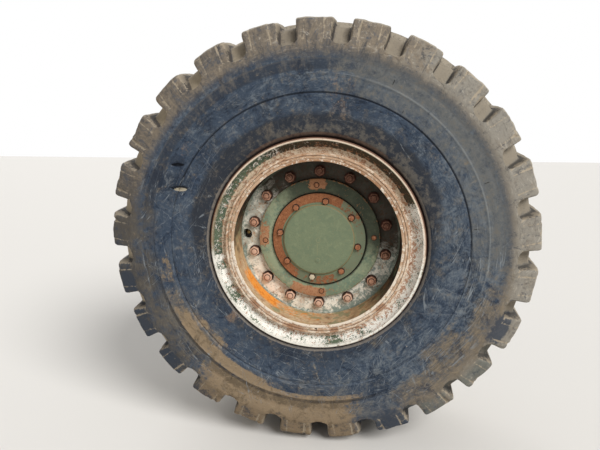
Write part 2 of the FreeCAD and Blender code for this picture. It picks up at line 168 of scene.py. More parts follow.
class Finish:
    """A material with coats of colour laid over each other. Its patterns know the wheel's radius and angle."""

    def __init__(self, name, colour, roughness, metallic=0):
        self.material = bpy.data.materials.new(name)
        self.material.use_nodes = True
        self.tree = self.material.node_tree
        self.shader = self.tree.nodes["Principled BSDF"]
        self.shader.inputs["Metallic"].default_value = metallic
        self.shader.inputs["Specular IOR Level"].default_value = 0.5 if metallic else 0.2
        self.colour = rgb(*colour)
        self.roughness = roughness
        self.place = self.node("ShaderNodeTexCoord").outputs["Object"]
        split = self.node("ShaderNodeSeparateXYZ")
        self.tree.links.new(self.place, split.inputs[0])
        self.x, self.y, self.z = (Pattern(self, output) for output in split.outputs)
        flat = self.joined(self.x, 0, self.z)
        self.radius = Pattern(self, self.vector("LENGTH", flat).outputs["Value"]) * 1000
        self.heading = self.vector("NORMALIZE", flat).outputs["Vector"]
        self.out = (self.y + WHEEL_CENTRE * MM) * -1000

    def node(self, kind, **settings):
        made = self.tree.nodes.new(kind)
        for name, setting in settings.items():
            setattr(made, name, setting)
        return made

    def feed(self, socket, source):
        """Set a socket to a number or colour, or link it to a pattern."""
        if isinstance(source, Pattern):
            self.tree.links.new(source.socket, socket)
        elif isinstance(source, bpy.types.NodeSocket):
            self.tree.links.new(source, socket)
        else:
            socket.default_value = source

    def math(self, operation, first, second=0):
        node = self.node("ShaderNodeMath", operation=operation)
        self.feed(node.inputs[0], first)
        self.feed(node.inputs[1], second)
        return Pattern(self, node.outputs[0])

    def vector(self, operation, first, second=(0, 0, 0)):
        node = self.node("ShaderNodeVectorMath", operation=operation)
        self.feed(node.inputs[0], first)
        self.feed(node.inputs[1], second)
        return node

    def joined(self, x, y, z):
        node = self.node("ShaderNodeCombineXYZ")
        for socket, source in zip(node.inputs, (x, y, z)):
            self.feed(socket, source)
        return node.outputs[0]

    def measured(self, name):
        """A number that the mesh carries at each of its corners."""
        return Pattern(self, self.node("ShaderNodeAttribute", attribute_name=name).outputs["Fac"])

    def cloud(self, size, detail=4, roughness=0.6, where=None, seed=0, swirl=0):
        """Smooth random patches about so many millimetres across, around a mean of 0.5, swirled if asked."""
        start = self.place if where is None else where
        if seed:
            start = self.shifted(start, (seed * 1.7, seed * 0.9, seed * 2.3))
        node = self.node("ShaderNodeTexNoise")
        self.feed(node.inputs["Vector"], start)
        self.feed(node.inputs["Scale"], 1000 / size)
        self.feed(node.inputs["Detail"], detail)
        self.feed(node.inputs["Roughness"], roughness)
        self.feed(node.inputs["Distortion"], swirl)
        return Pattern(self, node.outputs["Fac"])

    def wrapped(self, around, across, mean_radius=450):
        """Coordinates that stretch patterns by a factor around the wheel, and by another across its rings."""
        spread = self.vector("SCALE", self.heading)
        spread.inputs["Scale"].default_value = mean_radius * MM / around
        level = self.joined(0, (self.radius + self.out) * (MM / across), 0)
        return self.vector("ADD", spread.outputs[0], level).outputs[0]

    def shifted(self, start, move, turn=0, stretch=1):
        """Coordinates moved aside, turned about the wheel's axis and stretched along one direction of its face."""
        node = self.node("ShaderNodeMapping", vector_type="TEXTURE")
        self.feed(node.inputs["Vector"], start)
        node.inputs["Location"].default_value = move
        node.inputs["Rotation"].default_value = (0, radians(turn), 0)
        node.inputs["Scale"].default_value = (stretch, 1, 1)
        return node.outputs[0]

    def sector(self, start, end, soft=4):
        """1 between two angles about the axis."""
        middle = radians((start + end) / 2)
        half = (end - start) / 2
        along = self.vector("DOT_PRODUCT", self.heading, (cos(middle), 0, sin(middle)))
        along = Pattern(self, along.outputs["Value"])
        return along.rise(cos(radians(min(half + soft, 180))), cos(radians(max(half - soft, 0))))

    def sectors(self, *parts):
        """A sum of sectors, each with its start, end, softness and weight."""
        return sum(self.sector(start, end, soft) * weight for start, end, soft, weight in parts)

    def level(self, direction):
        """How far a place lies along a direction on the wheel's face."""
        return self.x * direction.x + self.z * direction.z

    def stroke(self, first, last, width, bow):
        """1 along a scratch between two places on the wheel's face, bent aside by a pattern."""
        along = (last - first).normalized()
        across = Vector((-along.z, 0, along.x))
        ends = self.level(along).band(first.dot(along), last.dot(along), 0.014)
        return (self.level(across) + bow).line(first.dot(across), width * MM / 2) * ends

    def lens(self, centre, half_length, half_height):
        """1 in the middle of a level lens shape about a place, 0 on its outline."""
        along = (self.x - centre.x) * (1 / half_length / MM)
        up = (self.z - centre.z) * (1 / half_height / MM)
        return (1 - (along * along + up * up)) * self.out.rise(0, 40)

    def away(self, place):
        """Distance on the wheel's face from a place, in millimetres."""
        across = self.math("POWER", self.x - place.x, 2)
        return self.math("SQRT", across + self.math("POWER", self.z - place.z, 2)) * 1000

    def paint(self, colour, mask):
        """Lay a colour over what is there, where the mask is 1."""
        mix = self.node("ShaderNodeMix", data_type="RGBA")
        self.feed(mix.inputs[0], mask)
        self.feed(mix.inputs[6], self.colour)
        self.feed(mix.inputs[7], rgb(*colour))
        self.colour = mix.outputs[2]

    def polish(self, roughness, mask):
        """Change the roughness where the mask is 1."""
        mix = self.node("ShaderNodeMix", data_type="FLOAT")
        self.feed(mix.inputs[0], mask)
        self.feed(mix.inputs[2], self.roughness)
        self.feed(mix.inputs[3], roughness)
        self.roughness = mix.outputs[0]

    def emboss(self, height, depth):
        """Raise the surface by a pattern, so many millimetres at 1."""
        bump = self.node("ShaderNodeBump")
        bump.inputs["Strength"].default_value = 1
        bump.inputs["Distance"].default_value = depth * MM
        self.feed(bump.inputs["Height"], height)
        self.feed(bump.inputs["Normal"], self.shader.inputs["Normal"].links[0].from_socket
                  if self.shader.inputs["Normal"].is_linked else (0, 0, 0))
        self.tree.links.new(bump.outputs[0], self.shader.inputs["Normal"])

    def done(self):
        self.feed(self.shader.inputs["Base Color"], self.colour)
        self.feed(self.shader.inputs["Roughness"], self.roughness)
        return self.material


# Scratches on the sidewall, each from an angle and radius to another
LONG_SCRATCHES = (
    ((284, 430), (292, 505)), ((296, 570), (304, 430)), ((247, 400), (252, 540)), ((278, 580), (281, 460)),
    ((195, 440), (212, 530)), ((343, 400), (343, 540)), ((345, 430), (335, 570)), ((318, 380), (318, 490)),
    ((172, 400), (170, 500)), ((146, 400), (141, 540)), ((160, 470), (176, 600)), ((163, 640), (178, 470)),
    ((30, 430), (36, 500)), ((44, 440), (58, 470)), ((262, 410), (266, 500)), ((326, 400), (338, 590)),
)


class TyreFinish(Finish):
    """Dark blue rubber, with the patterns that its coats share."""

    def __init__(self):
        super().__init__("tyre_rubber", (57, 68, 82), 0.8)
        self.broad = self.cloud(150, 5, 0.62)
        self.middling = self.cloud(46, 6, 0.72, seed=3)
        self.fine = self.cloud(12, 5, 0.75)
        self.grain = self.cloud(5, 3, 0.7, seed=2)
        self.around = self.cloud(60, 5, 0.68, self.wrapped(4, 1))
        self.runs = self.cloud(24, 6, 0.7, self.wrapped(1, 4), seed=7)
        self.groove = self.measured("groove")
        self.wisps = self.cloud(75, 6, 0.78, seed=14, swirl=1.6)
        self.hairs = self.cloud(20, 5, 0.8, self.wrapped(2.5, 1), seed=15, swirl=2.5)


def bare_rubber(f):
    """The rubber itself, lighter and darker in bands and patches, with painted shade in the hollow ring on the
    upper half.
    """
    r, fine, middling, wisps, hairs = f.radius, f.fine, f.middling, f.wisps, f.hairs
    f.paint((32, 39, 51), (f.broad * 0.6 + fine * 0.4).rise(0.49, 0.6) * 0.85)
    f.paint((86, 98, 112), (f.around * 0.4 + fine * 0.6).rise(0.51, 0.64) * 0.7)
    f.paint((48, 63, 84), wisps.rise(0.47, 0.36) * 0.6)
    light = f.sector(292, 400, 20) * 0.045 + f.sector(66, 130, 20) * r.band(480, 600, 20) * 0.015
    f.paint((116, 124, 130), (wisps * 0.6 + hairs * 0.4 + light).rise(0.5, 0.66) * r.rise(392, 430) * 0.66)
    f.paint((22, 27, 36), (wisps * 0.6 + hairs * 0.4).rise(0.475, 0.39) * 0.72)
    f.paint((108, 114, 118), (f.grain * 0.5 + fine * 0.5).rise(0.56, 0.68) * 0.5)
    by_rim = r.rise(484, 440) * f.sector(20, 178, 20) * 0.55 + r.rise(465, 395) * 0.3
    f.paint((42, 45, 51), (by_rim + middling * 0.5).rise(0.32, 0.76) * 0.9)
    f.paint((34, 40, 50), r.rise(486, 410) * (middling * 0.5 + fine * 0.5).rise(0.34, 0.6) * 0.5)
    # Painted shade in the hollow ring between radii 598 and 640, on the upper half
    above = r.band(598, 640, 8) * f.sector(-5, 178, 14) * 0.55
    f.paint((42, 46, 54), (above + middling * 0.4).rise(0.45, 0.8) * 0.7)


def dust_ahead(f):
    """Grey dust on the quarter ahead, thicker towards the tread."""
    r, fine, middling = f.radius, f.fine, f.middling
    ahead = f.sector(-8, 84, 16)
    haze = ahead * r.rise(524, 534) * 0.36 + ahead * r.band(588, 1000, 6) * 0.08 + ahead * r.rise(400, 500) * 0.06
    f.paint((103, 104, 102), (haze + middling.swing(1.1) + fine.swing(0.7)).rise(0.1, 0.62) * 0.85)
    warm = f.cloud(30, 6, 0.75, seed=5) + f.sector(20, 110, 20) * r.rise(460, 400) * 0.12
    f.paint((116, 109, 98), warm.rise(0.53, 0.7) * r.rise(530, 420) * 0.5)
    shoulder = f.sector(-16, 104, 16) * r.band(640, 672, 12) * 0.5
    f.paint((74, 72, 72), (shoulder + middling.swing(0.9) + f.wisps.swing()).rise(0.14, 0.6)
            * r.band(632, 680, 14) * 0.45)


def dust_on_lugs(f):
    """Dust over shoulders and lugs: grey ahead, brown in runs above, a dark film behind.

    Returns where the lugs are, and how much dust each quarter has."""
    r, fine, middling, wisps = f.radius, f.fine, f.middling, f.wisps
    lugs = r.rise(640, 690)
    speckled = f.cloud(14, 6, 0.8, f.wrapped(1, 3), seed=16, swirl=0.8).swing(2) + fine.swing(0.8)
    share = f.sector(-46, 66, 16) * 0.52 + f.sector(66, 162, 14) * 0.3 + f.sector(296, 330, 10) * 0.2
    brown = f.sector(66, 178, 14) * 0.5 + middling.swing() + fine.swing()
    f.paint((96, 88, 79), brown.rise(0, 0.5) * lugs * 0.75)
    f.paint((128, 116, 100), (share * r.rise(630, 676) + speckled * 0.8 - 0.02).rise(0, 0.5) * lugs * 0.95)
    f.paint((136, 132, 123), (f.sector(-50, 64, 14) * 0.6 + middling.swing(1.6) + speckled * 0.5).rise(0.15, 0.6)
            * r.rise(656, 690) * f.sector(-56, 92, 14) * 0.8)
    f.paint((70, 70, 72), (f.sector(-60, 170, 10) * 0.04 - speckled).rise(0.14, 0.4) * r.rise(610, 660) * 0.7)
    f.paint((170, 158, 140), (speckled + f.sector(-60, 130, 10) * 0.1).rise(0.26, 0.5) * lugs * 0.55)
    blue = f.sector(60, 178, 10) * 0.14 + wisps.swing(2) + fine.swing(0.4)
    f.paint((66, 76, 90), blue.rise(0.2, 0.45) * lugs * 0.7)
    flecks = f.sector(66, 150, 12) * r.band(600, 655, 10) * 0.24 + f.runs.swing(1.2) + speckled * 0.3
    f.paint((112, 106, 98), flecks.rise(0.2, 0.55) * r.band(596, 660, 10) * 0.6)
    # Painted shadow: a dark line at radius 636 on the upper half, at the step where the lugs begin
    f.paint((92, 90, 88), r.line(636, 4) * f.sector(-10, 158, 10) * 0.3)
    f.paint((80, 75, 68), (f.sector(166, 226, 12) * 0.4 + middling.swing(1.4) + wisps.swing()).rise(0.1, 0.5)
            * f.sector(158, 240, 10) * r.rise(560, 640) * 0.85)
    f.paint((98, 101, 95), (f.sector(298, 332, 8) * 0.4 + middling.swing(1.5)).rise(0.2, 0.5)
            * f.sector(292, 338, 6) * r.rise(675, 720) * 0.8)
    f.paint((100, 95, 88), f.hairs.rise(0.49, 0.36) * lugs * 0.6)
    f.paint((180, 173, 160), f.hairs.rise(0.55, 0.68) * lugs * f.sector(-60, 130, 20) * 0.5)
    return lugs, share


def mud(f):
    """Tan mud low down behind, with a ragged edge, a thin film around it and smears ahead.

    Returns how thick it cakes."""
    r, fine, middling, wisps, hairs = f.radius, f.fine, f.middling, f.wisps, f.hairs
    ragged = middling.swing(1.8) + fine.swing()
    cake = (f.sector(231, 282, 10) * r.rise(588, 604) * 0.95 + f.sector(211, 252, 6) * r.band(548, 592, 8) * 0.95
            + f.sector(211, 230, 5) * r.band(500, 560, 14) * 0.55
            + f.sector(186, 212, 6) * r.band(535, 590, 14) * 0.42
            + f.sector(250, 286, 8) * r.band(571, 596, 4) * 0.7)
    film = (f.sector(190, 300, 12) * r.rise(450, 590) * 0.3 + f.sector(204, 226, 8) * r.rise(420, 520) * 0.2
            - f.sector(160, 226, 8) * r.rise(600, 640) * 0.3 + wisps.swing(1.2) + hairs.swing(0.6))
    f.paint((104, 97, 86), film.rise(0.12, 0.6) * f.sector(180, 306, 12) * 0.75)
    smears = (f.sector(296, 348, 10) * r.rise(572, 612) * 0.4 + f.sector(315, 328, 4) * r.band(532, 590, 14) * 0.36
              - f.sector(284, 297, 4) * 0.3)
    f.paint((108, 98, 84), (smears + ragged * 0.7 + wisps.swing(0.8)).rise(0, 0.62) * r.rise(720, 680) * 0.9)
    pale = smears * 0.6 + ragged * 0.5 + hairs.swing(1.6)
    f.paint((140, 125, 103), pale.rise(0.16, 0.62) * r.rise(700, 660) * 0.75)
    caked = (cake + ragged).rise(0.3, 0.82)
    f.paint((138, 119, 94), caked * 0.92)
    # Darker mud in patches, most in a band between radii 598 and 626
    darker_mud = wisps.swing(2.2) + fine.swing(0.8) + r.band(598, 626, 8) * 0.36
    f.paint((88, 76, 60), caked * darker_mud.rise(0, 0.36) * 0.8)
    worn_off = middling.swing(2) + hairs.swing() + r.rise(640, 700) * 0.16
    f.paint((56, 56, 58), caked * worn_off.rise(0.2, 0.46) * 0.75)
    f.paint((164, 146, 119), caked * (hairs * 0.6 + fine * 0.4).rise(0.52, 0.66) * 0.6)
    return cake


def rubbed_clean(f, lugs, cake):
    """Lugs rubbed clean again, least where the mud is thick."""
    r = f.radius
    clean = (f.cloud(70, 5, 0.7, seed=8).swing(1.7) + f.sector(176, 282, 10) * r.rise(676, 705) * 0.22
             + f.sector(284, 297, 4) * 0.5 + f.sector(192, 232, 6) * r.rise(690, 710) * 0.3
             + f.sector(333, 341, 3) * r.band(650, 735, 14) * 0.8 - f.sector(-22, 60, 12) * 0.35 - cake * 0.06)
    f.paint((52, 60, 72), (clean * lugs + f.fine.swing(0.8)).rise(0.16, 0.5) * 0.85)


def tread(f):
    """Dark walls of the grooves, part painted shade; dust on their floors, with painted light on the left and
    painted shade at the lower right; pale worn corners; and pale crowns, part dust and part painted highlight.
    """
    r, fine, groove = f.radius, f.fine, f.groove
    # Painted shade: the walls of the grooves darkened
    f.paint((46, 44, 44), groove.band(0.2, 0.92, 0.12) * (0.45 + fine * 0.6))
    # Dust on the groove floors, left off at the lower right as painted shade
    floors = groove.rise(0.9, 1) * 0.75 + fine.swing() - f.sector(236, 330, 16) * 0.4
    f.paint((140, 130, 114), floors.rise(0.42, 0.75) * 0.85)
    # Painted light on the groove floors at the left
    f.paint((186, 170, 144), groove.rise(0.93, 1) * f.sector(116, 216, 14) * (fine + 0.3) * 0.9)
    corners = f.measured("worn") * 4.8 + fine.swing(2.2)
    f.paint((160, 147, 127), corners.rise(0.3, 0.66) * (1 - groove * 0.7) * 0.85)
    # Pale crowns: dust, with a painted highlight on their edges and upper side
    crowns = (r.rise(762, 772) * 0.5 + fine.swing(0.8)
              + (f.sector(-60, 130, 14) | f.sector(186, 250, 10)) * 0.2)
    f.paint((170, 160, 143), crowns.rise(0.35, 0.7) * 0.7)
    f.paint((104, 99, 92), (f.wisps * 0.6 + fine * 0.4).rise(0.5, 0.4) * r.rise(764, 776) * 0.6)
    f.paint((70, 70, 72), (f.middling * 0.4 + fine * 0.6).rise(0.57, 0.64) * r.rise(764, 776) * 0.7)


def rings_and_runs(f):
    """Rust and dirt that ran down from above, painted highlights and shadows at the moulded lines, and dust and
    rust by the rim, with a painted shadow in the gap beside the flange.
    """
    r, fine = f.radius, f.fine
    runs = (f.sector(77, 86, 3) * r.band(440, 600, 30) * 0.36 + f.sector(220, 224, 2) * r.band(384, 440, 14) * 0.6
            + f.sector(142, 146, 2.5) * r.band(556, 590, 18) * 0.42)
    f.paint((134, 110, 88), (runs + f.runs.swing(0.9) + fine.swing(1.1)).rise(0.3, 0.7) * 0.6)
    # Painted light and shade at the moulded steps: highlights at radius 588 on the upper right and 534 low down,
    # shadows at 527 on the upper half and 597 at the lower left
    f.paint((134, 138, 138), r.line(588, 3) * f.sector(-12, 70, 10) * (0.1 + fine * 0.7))
    f.paint((22, 26, 34), r.line(527, 3.4) * f.sector(-2, 164, 8) * 0.85)
    f.paint((36, 34, 34), r.line(597, 9) * f.sector(196, 292, 7) * (fine * 1.2))
    f.paint((112, 122, 134), r.line(534, 4) * f.sector(185, 350, 8)
            * (f.middling * 0.6 + fine * 0.4).rise(0.42, 0.66) * 0.6)
    dust = r.band(387, 397, 3) * 0.7 + fine.swing() - f.sector(40, 140, 10) * 0.2
    f.paint((140, 130, 118), dust.rise(0.34, 0.74) * 0.6)
    f.paint((96, 70, 54), (r.band(386, 400, 4) * f.sector(50, 130, 10) * 0.7 + fine.swing()).rise(0.4, 0.7) * 0.6)
    # Painted shadow, with rust, in the gap between the tyre and the flange's lip
    f.paint((48, 34, 28), r.rise(390, 385) * 0.92)


def scratched(f):
    """Fine scratches, more of them low down, and a few long ones. Returns the fine ones."""
    low = f.sector(150, 372, 20) * 0.55 + 0.3
    scratches = 0
    for seed, (tilt, stretch, size, width) in enumerate(
        ((35, 22, 26, 0.008), (-48, 24, 30, 0.007), (80, 22, 26, 0.007), (112, 20, 28, 0.007)), start=11
    ):
        marks = f.cloud(size, 2, 0.5, f.shifted(f.place, (seed, 0, 0), tilt, stretch), swirl=0.5).line(0.5, width)
        scratches = marks * f.cloud(110, 3, 0.6, seed=seed + 20).rise(0.5, 0.6) + scratches
    arcs = f.cloud(22, 2, 0.5, f.wrapped(14, 1), seed=31).line(0.5, 0.01) * f.broad.rise(0.45, 0.6)
    f.paint((132, 138, 142), ((scratches + arcs) * low * f.radius.rise(680, 640) * 0.6).rise(0, 0.9))
    bow = f.cloud(160, 4, 0.55, seed=6).swing(0.07)
    long_ones = 0
    for (start, inner), (end, outer) in LONG_SCRATCHES:
        long_ones = f.stroke(spot(inner, 0, start), spot(outer, 0, end), 3, bow) + long_ones
    f.paint((134, 138, 140), long_ones * f.cloud(26, 5, 0.75, seed=9).rise(0.4, 0.65) * 0.6)
    scrape = f.stroke(spot(440, 0, 270.5), spot(520, 0, 271.5), 9, bow)
    f.paint((138, 128, 112), scrape * f.fine.rise(0.4, 0.6) * 0.7)
    return scratches


def cuts(f):
    """The two old cuts: a dark one with a lump over it and a painted shadow in its slit, and a pale one under a
    dark lip of painted shadow.
    """
    upper, lower = (spot(radius, 0, angle) for angle, radius, *_ in SIDEWALL_CUTS)
    lump = f.lens(upper + Vector((0, 0, 0.012)), 32, 26)
    f.paint((30, 38, 52), (lump + f.fine.swing(0.5)).rise(0, 0.5) * 0.6)
    # Painted shadow in the upper cut's slit
    f.paint((12, 15, 22), f.lens(upper, 26, 7).rise(0, 0.4) * 0.92)
    # Painted shadow under the lower cut's upper lip
    f.paint((24, 28, 36), f.lens(lower + Vector((0, 0, 0.004)), 34, 9).rise(0, 0.4) * 0.85)
    inside = f.lens(lower + Vector((0.002, 0, -0.002)), 26, 6.5)
    f.paint((168, 158, 138), (inside + f.fine.swing(0.4)).rise(0, 0.3))


def tyre_rubber():
    """Rubber under the dust, mud and damage that came over it, and painted light and shade, in their order."""
    f = TyreFinish()
    bare_rubber(f)
    dust_ahead(f)
    lugs, share = dust_on_lugs(f)
    cake = mud(f)
    rubbed_clean(f, lugs, cake)
    tread(f)
    rings_and_runs(f)
    scratches = scratched(f)
    cuts(f)
    f.polish(0.95, (share * lugs).rise(0, 0.6))
    f.emboss(f.fine * 0.7 + f.grain * 0.3, 1.8)
    f.emboss(scratches, -0.5)
    return f.done()


def flange_paint():
    """Old green under white that has chipped, with rust by the foot, painted shade in the upper part of the
    channel, and a worn lip with a painted highlight along its upper half.
    """
    f = Finish("flange_paint", (88, 100, 80), 0.6)
    r = f.radius
    chips = f.cloud(16, 6, 0.75, seed=3)
    patches = f.cloud(42, 5, 0.7, seed=6)
    spokes = f.cloud(10, 5, 0.7, f.wrapped(1, 3, 350))
    fine = f.cloud(6, 4, 0.75, seed=8)
    f.paint((60, 72, 58), patches.rise(0.46, 0.58) * 0.8)
    f.paint((112, 96, 72), fine.rise(0.54, 0.66) * 0.5)
    # Rust chips, and painted shade in the upper part of the channel
    f.paint((60, 46, 32), (f.sector(24, 118, 10) * r.band(345, 370, 4) * 0.42 + chips - 0.5).rise(0.06, 0.35) * 0.9)
    share = f.sectors(
        (186, 300, 6, 0.15), (300, 334, 4, 0.165), (334, 385, 5, 0.155), (112, 186, 5, 0.06), (96, 112, 4, 0.03),
        (183, 187, 2, -0.07), (192, 196, 2, -0.07), (207, 218, 3, -0.07), (275, 285, 3, -0.07),
        (295, 303, 3, -0.06),
    ) - 0.15
    white = (patches * 0.25 + chips * 0.4 + spokes * 0.3 + fine * 0.5 - 0.175 + share).rise(0.475, 0.52)
    f.paint((231, 228, 218), white)
    f.paint((190, 180, 160), white * fine.rise(0.54, 0.66) * 0.5)
    # Beige and rust towards the foot
    foot = (r.rise(352, 342) * 0.6 + chips.swing(1.2) + spokes.swing(0.8)).rise(0.24, 0.4)
    f.paint((206, 186, 160), foot * (1 - white * 0.6))
    f.paint((234, 225, 210), foot * f.sector(286, 380, 12) * chips.rise(0.62, 0.44) * 0.75)
    flecks = (fine * 0.5 + chips * 0.5 + r.rise(366, 338) * 0.06 + f.sector(296, 380, 10) * 0.02).rise(0.55, 0.6)
    f.paint((160, 112, 80), flecks * 0.85)
    rust = chips * 0.5 + f.cloud(9, 5, 0.75, seed=9) * 0.5 + r.rise(350, 334) * 0.03
    f.paint((104, 68, 46), rust.rise(0.58, 0.63) * 0.8)
    f.paint((110, 74, 50), r.line(331.5, 1.6) * f.sector(196, 262, 8) * 0.8)
    # The lip, with a painted highlight along its upper half
    f.paint((222, 200, 178), r.rise(370.5, 372.5) * f.sector(-8, 150, 5) * (0.6 + fine * 0.6))
    f.paint((146, 128, 102), r.rise(368, 371) * f.sector(150, 184, 5) * 0.85)
    below = f.sector(184, 300, 5) + f.sector(300, 352, 5) * r.rise(377, 375)
    f.paint((230, 226, 214), r.rise(368, 371) * below * chips.rise(0.62, 0.5) * 0.9)
    rim = r.rise(375.5, 377.5) * f.sector(-4, 184, 5)
    f.paint((100, 62, 42), (rim + (chips - 0.55) * 0.5).rise(0.4, 0.7) * 0.9)
    f.paint((120, 98, 78), r.rise(376, 379) * f.sector(184, 356, 5) * 0.75)
    f.paint((58, 38, 30), r.rise(379, 380.8) * 0.85)
    f.polish(0.85, flecks)
    f.emboss(white, 0.3)
    f.emboss(chips + flecks * 0.5, 0.8)
    return f.done()


def rim_ring_paint():
    """Beige rust with worn white streaks, on the rings between the flange and the rim's bore."""
    f = Finish("rim_ring_paint", (182, 150, 122), 0.68)
    r = f.radius
    arcs = f.cloud(9, 5, 0.7, f.wrapped(2.6, 1, 315))
    chips = f.cloud(15, 6, 0.75, seed=4, swirl=0.6)
    low = f.sector(180, 372, 12)
    f.paint((150, 108, 74), (arcs * 0.6 + chips * 0.4).rise(0.5, 0.57) * 0.8)
    white = f.cloud(10, 5, 0.72, f.wrapped(3, 1, 315), seed=5) * 0.5 + chips * 0.5 + low * 0.035
    f.paint((222, 207, 186), white.rise(0.5, 0.58) * 0.85)
    f.paint((120, 82, 56), (f.cloud(9, 5, 0.75, seed=9) * 0.6 + arcs * 0.4).rise(0.56, 0.62) * 0.85)
    f.paint((104, 108, 84), (f.cloud(18, 5, 0.7, seed=8) + f.sector(120, 200, 10) * 0.05).rise(0.6, 0.66) * 0.6)
    brown = f.sectors((222, 228, 2, 0.2), (250, 262, 3, 0.2), (280, 284, 2, 0.2), (313, 320, 2, 0.2))
    f.paint((140, 98, 68), (brown + chips).rise(0.58, 0.66) * low * 0.8)
    f.paint((236, 230, 218), (r.rise(312, 306) * f.sector(184, 345, 8) * 0.25 + chips).rise(0.62, 0.7) * 0.9)
    # Painted shade: darker rust by the inner edge on the upper side
    f.paint((112, 76, 54), (f.sector(14, 126, 14) * r.rise(309, 300) * 0.5 + chips - 0.5).rise(0.2, 0.5) * 0.75)
    f.paint((70, 44, 30), (r.line(319, 1.3) | r.line(308.8, 1.1)) * (0.35 + chips * 0.6))
    f.emboss(chips + arcs * 0.6, 0.9)
    return f.done()


def bore_paint():
    """The rim base: its gutter like the rings beside it, its bore dark above with painted shade, brown and orange
    rust below.
    """
    f = Finish("bore_paint", (84, 70, 52), 0.75)
    deep = f.out.rise(275, 271)
    chips = f.cloud(16, 5, 0.72, seed=4)
    broad = f.cloud(60, 4, 0.6, seed=6)
    arcs = f.cloud(9, 5, 0.7, f.wrapped(6, 1, 300))
    # Painted shade: the bore dark on the upper side
    f.paint((34, 25, 16), (f.sector(-30, 162, 12) * 0.5 + broad - 0.5).rise(0.1, 0.35) * 0.95)
    f.paint((176, 146, 108), (f.sector(178, 318, 14) * 0.5 + broad - 0.5).rise(0.15, 0.5))
    f.paint((206, 182, 152), (f.sector(190, 300, 14) * 0.3 + arcs - 0.5).rise(0.22, 0.42) * 0.8)
    f.paint((132, 88, 54), (f.sector(186, 330, 14) * 0.12 + arcs * 0.5 + chips * 0.5).rise(0.6, 0.72) * 0.8)
    f.paint((102, 116, 86), (f.sector(240, 330, 14) * 0.06 + broad).rise(0.56, 0.64) * 0.6)
    # Bright orange rust by the disc
    runs = f.sector(206, 238, 8) * 0.52 | f.sector(238, 272, 8) * 0.22
    orange = (runs + chips.swing(1.1) + arcs.swing(1.3)).rise(0.14, 0.5) * deep * f.out.rise(240, 212)
    f.paint((220, 140, 54), orange)
    f.paint((188, 104, 34), orange * chips.rise(0.5, 0.6) * 0.7)
    f.paint((40, 42, 34), f.out.rise(160, 150) * 0.6)
    rim_face = f.out.rise(271, 275)
    f.paint((186, 156, 128), rim_face)
    # Rust streaks on the gutter's face, more of them on the upper side as painted shade
    streaks = arcs * 0.6 + chips * 0.4 + f.sector(16, 120, 12) * 0.08
    f.paint((150, 108, 76), rim_face * streaks.rise(0.5, 0.57) * 0.8)
    f.paint((226, 214, 196), rim_face * (chips + f.sector(180, 345, 12) * 0.12).rise(0.52, 0.6) * 0.9)
    f.emboss(chips, 1.0)
    return f.done()


def disc_paint():
    """Pale dust over grey-green paint, with painted shade above in dark brown, rust and teal, and by the outer
    edge.
    """
    f = Finish("disc_paint", (234, 228, 212), 0.72)
    r = f.radius
    patches = f.cloud(46, 5, 0.68, seed=2, swirl=0.5)
    fine = f.cloud(8, 5, 0.75, seed=5)
    teal = f.cloud(22, 6, 0.75, seed=9, swirl=0.8)
    f.paint((168, 166, 150), (patches + f.sector(140, 200, 12) * 0.1).rise(0.48, 0.62) * 0.75)
    f.paint((242, 235, 220), (f.sector(205, 348, 12) * 0.3 + fine - 0.5).rise(0.1, 0.4) * 0.6)
    green = teal * 0.6 + fine * 0.4 + r.rise(276, 292) * 0.05 + f.sector(280, 350, 12) * 0.05
    f.paint((96, 120, 112), green.rise(0.51, 0.61) * 0.8)
    f.paint((198, 164, 132), r.band(238, 268, 5) * (fine * 0.5 + patches * 0.5).rise(0.5, 0.58) * 0.6)
    rust = fine * 0.6 + patches * 0.4 + r.rise(234, 227) * 0.05 + f.sector(120, 200, 10) * 0.02
    f.paint((150, 100, 68), rust.rise(0.56, 0.64) * 0.8)
    # Dirt that gathers around each nut
    dirt = 0
    for angle in around(NUTS, 90):
        dirt = f.away(spot(NUT_CIRCLE, 0, angle)).rise(32, 21) | dirt
    f.paint((104, 92, 74), (dirt * 0.5 + fine - 0.5).rise(0.2, 0.8) * 0.6)
    # Painted shade above, where the rim's overhang shades the disc: dark brown, with darker copies of its rust and
    # teal
    upper = (f.sector(-8, 138, 22) * 0.6 + patches.swing()).rise(0.12, 0.5)
    f.paint((46, 37, 26), upper * 0.95)
    f.paint((84, 54, 36), upper * fine.rise(0.52, 0.62) * 0.6)
    f.paint((58, 66, 52), upper * teal.rise(0.53, 0.64) * 0.7)
    # Painted shade by the disc's outer edge, in the corner where it meets the bore
    f.paint((82, 92, 78), r.rise(288, 296) * 0.6)
    f.emboss(fine + patches, 0.9)
    return f.done()


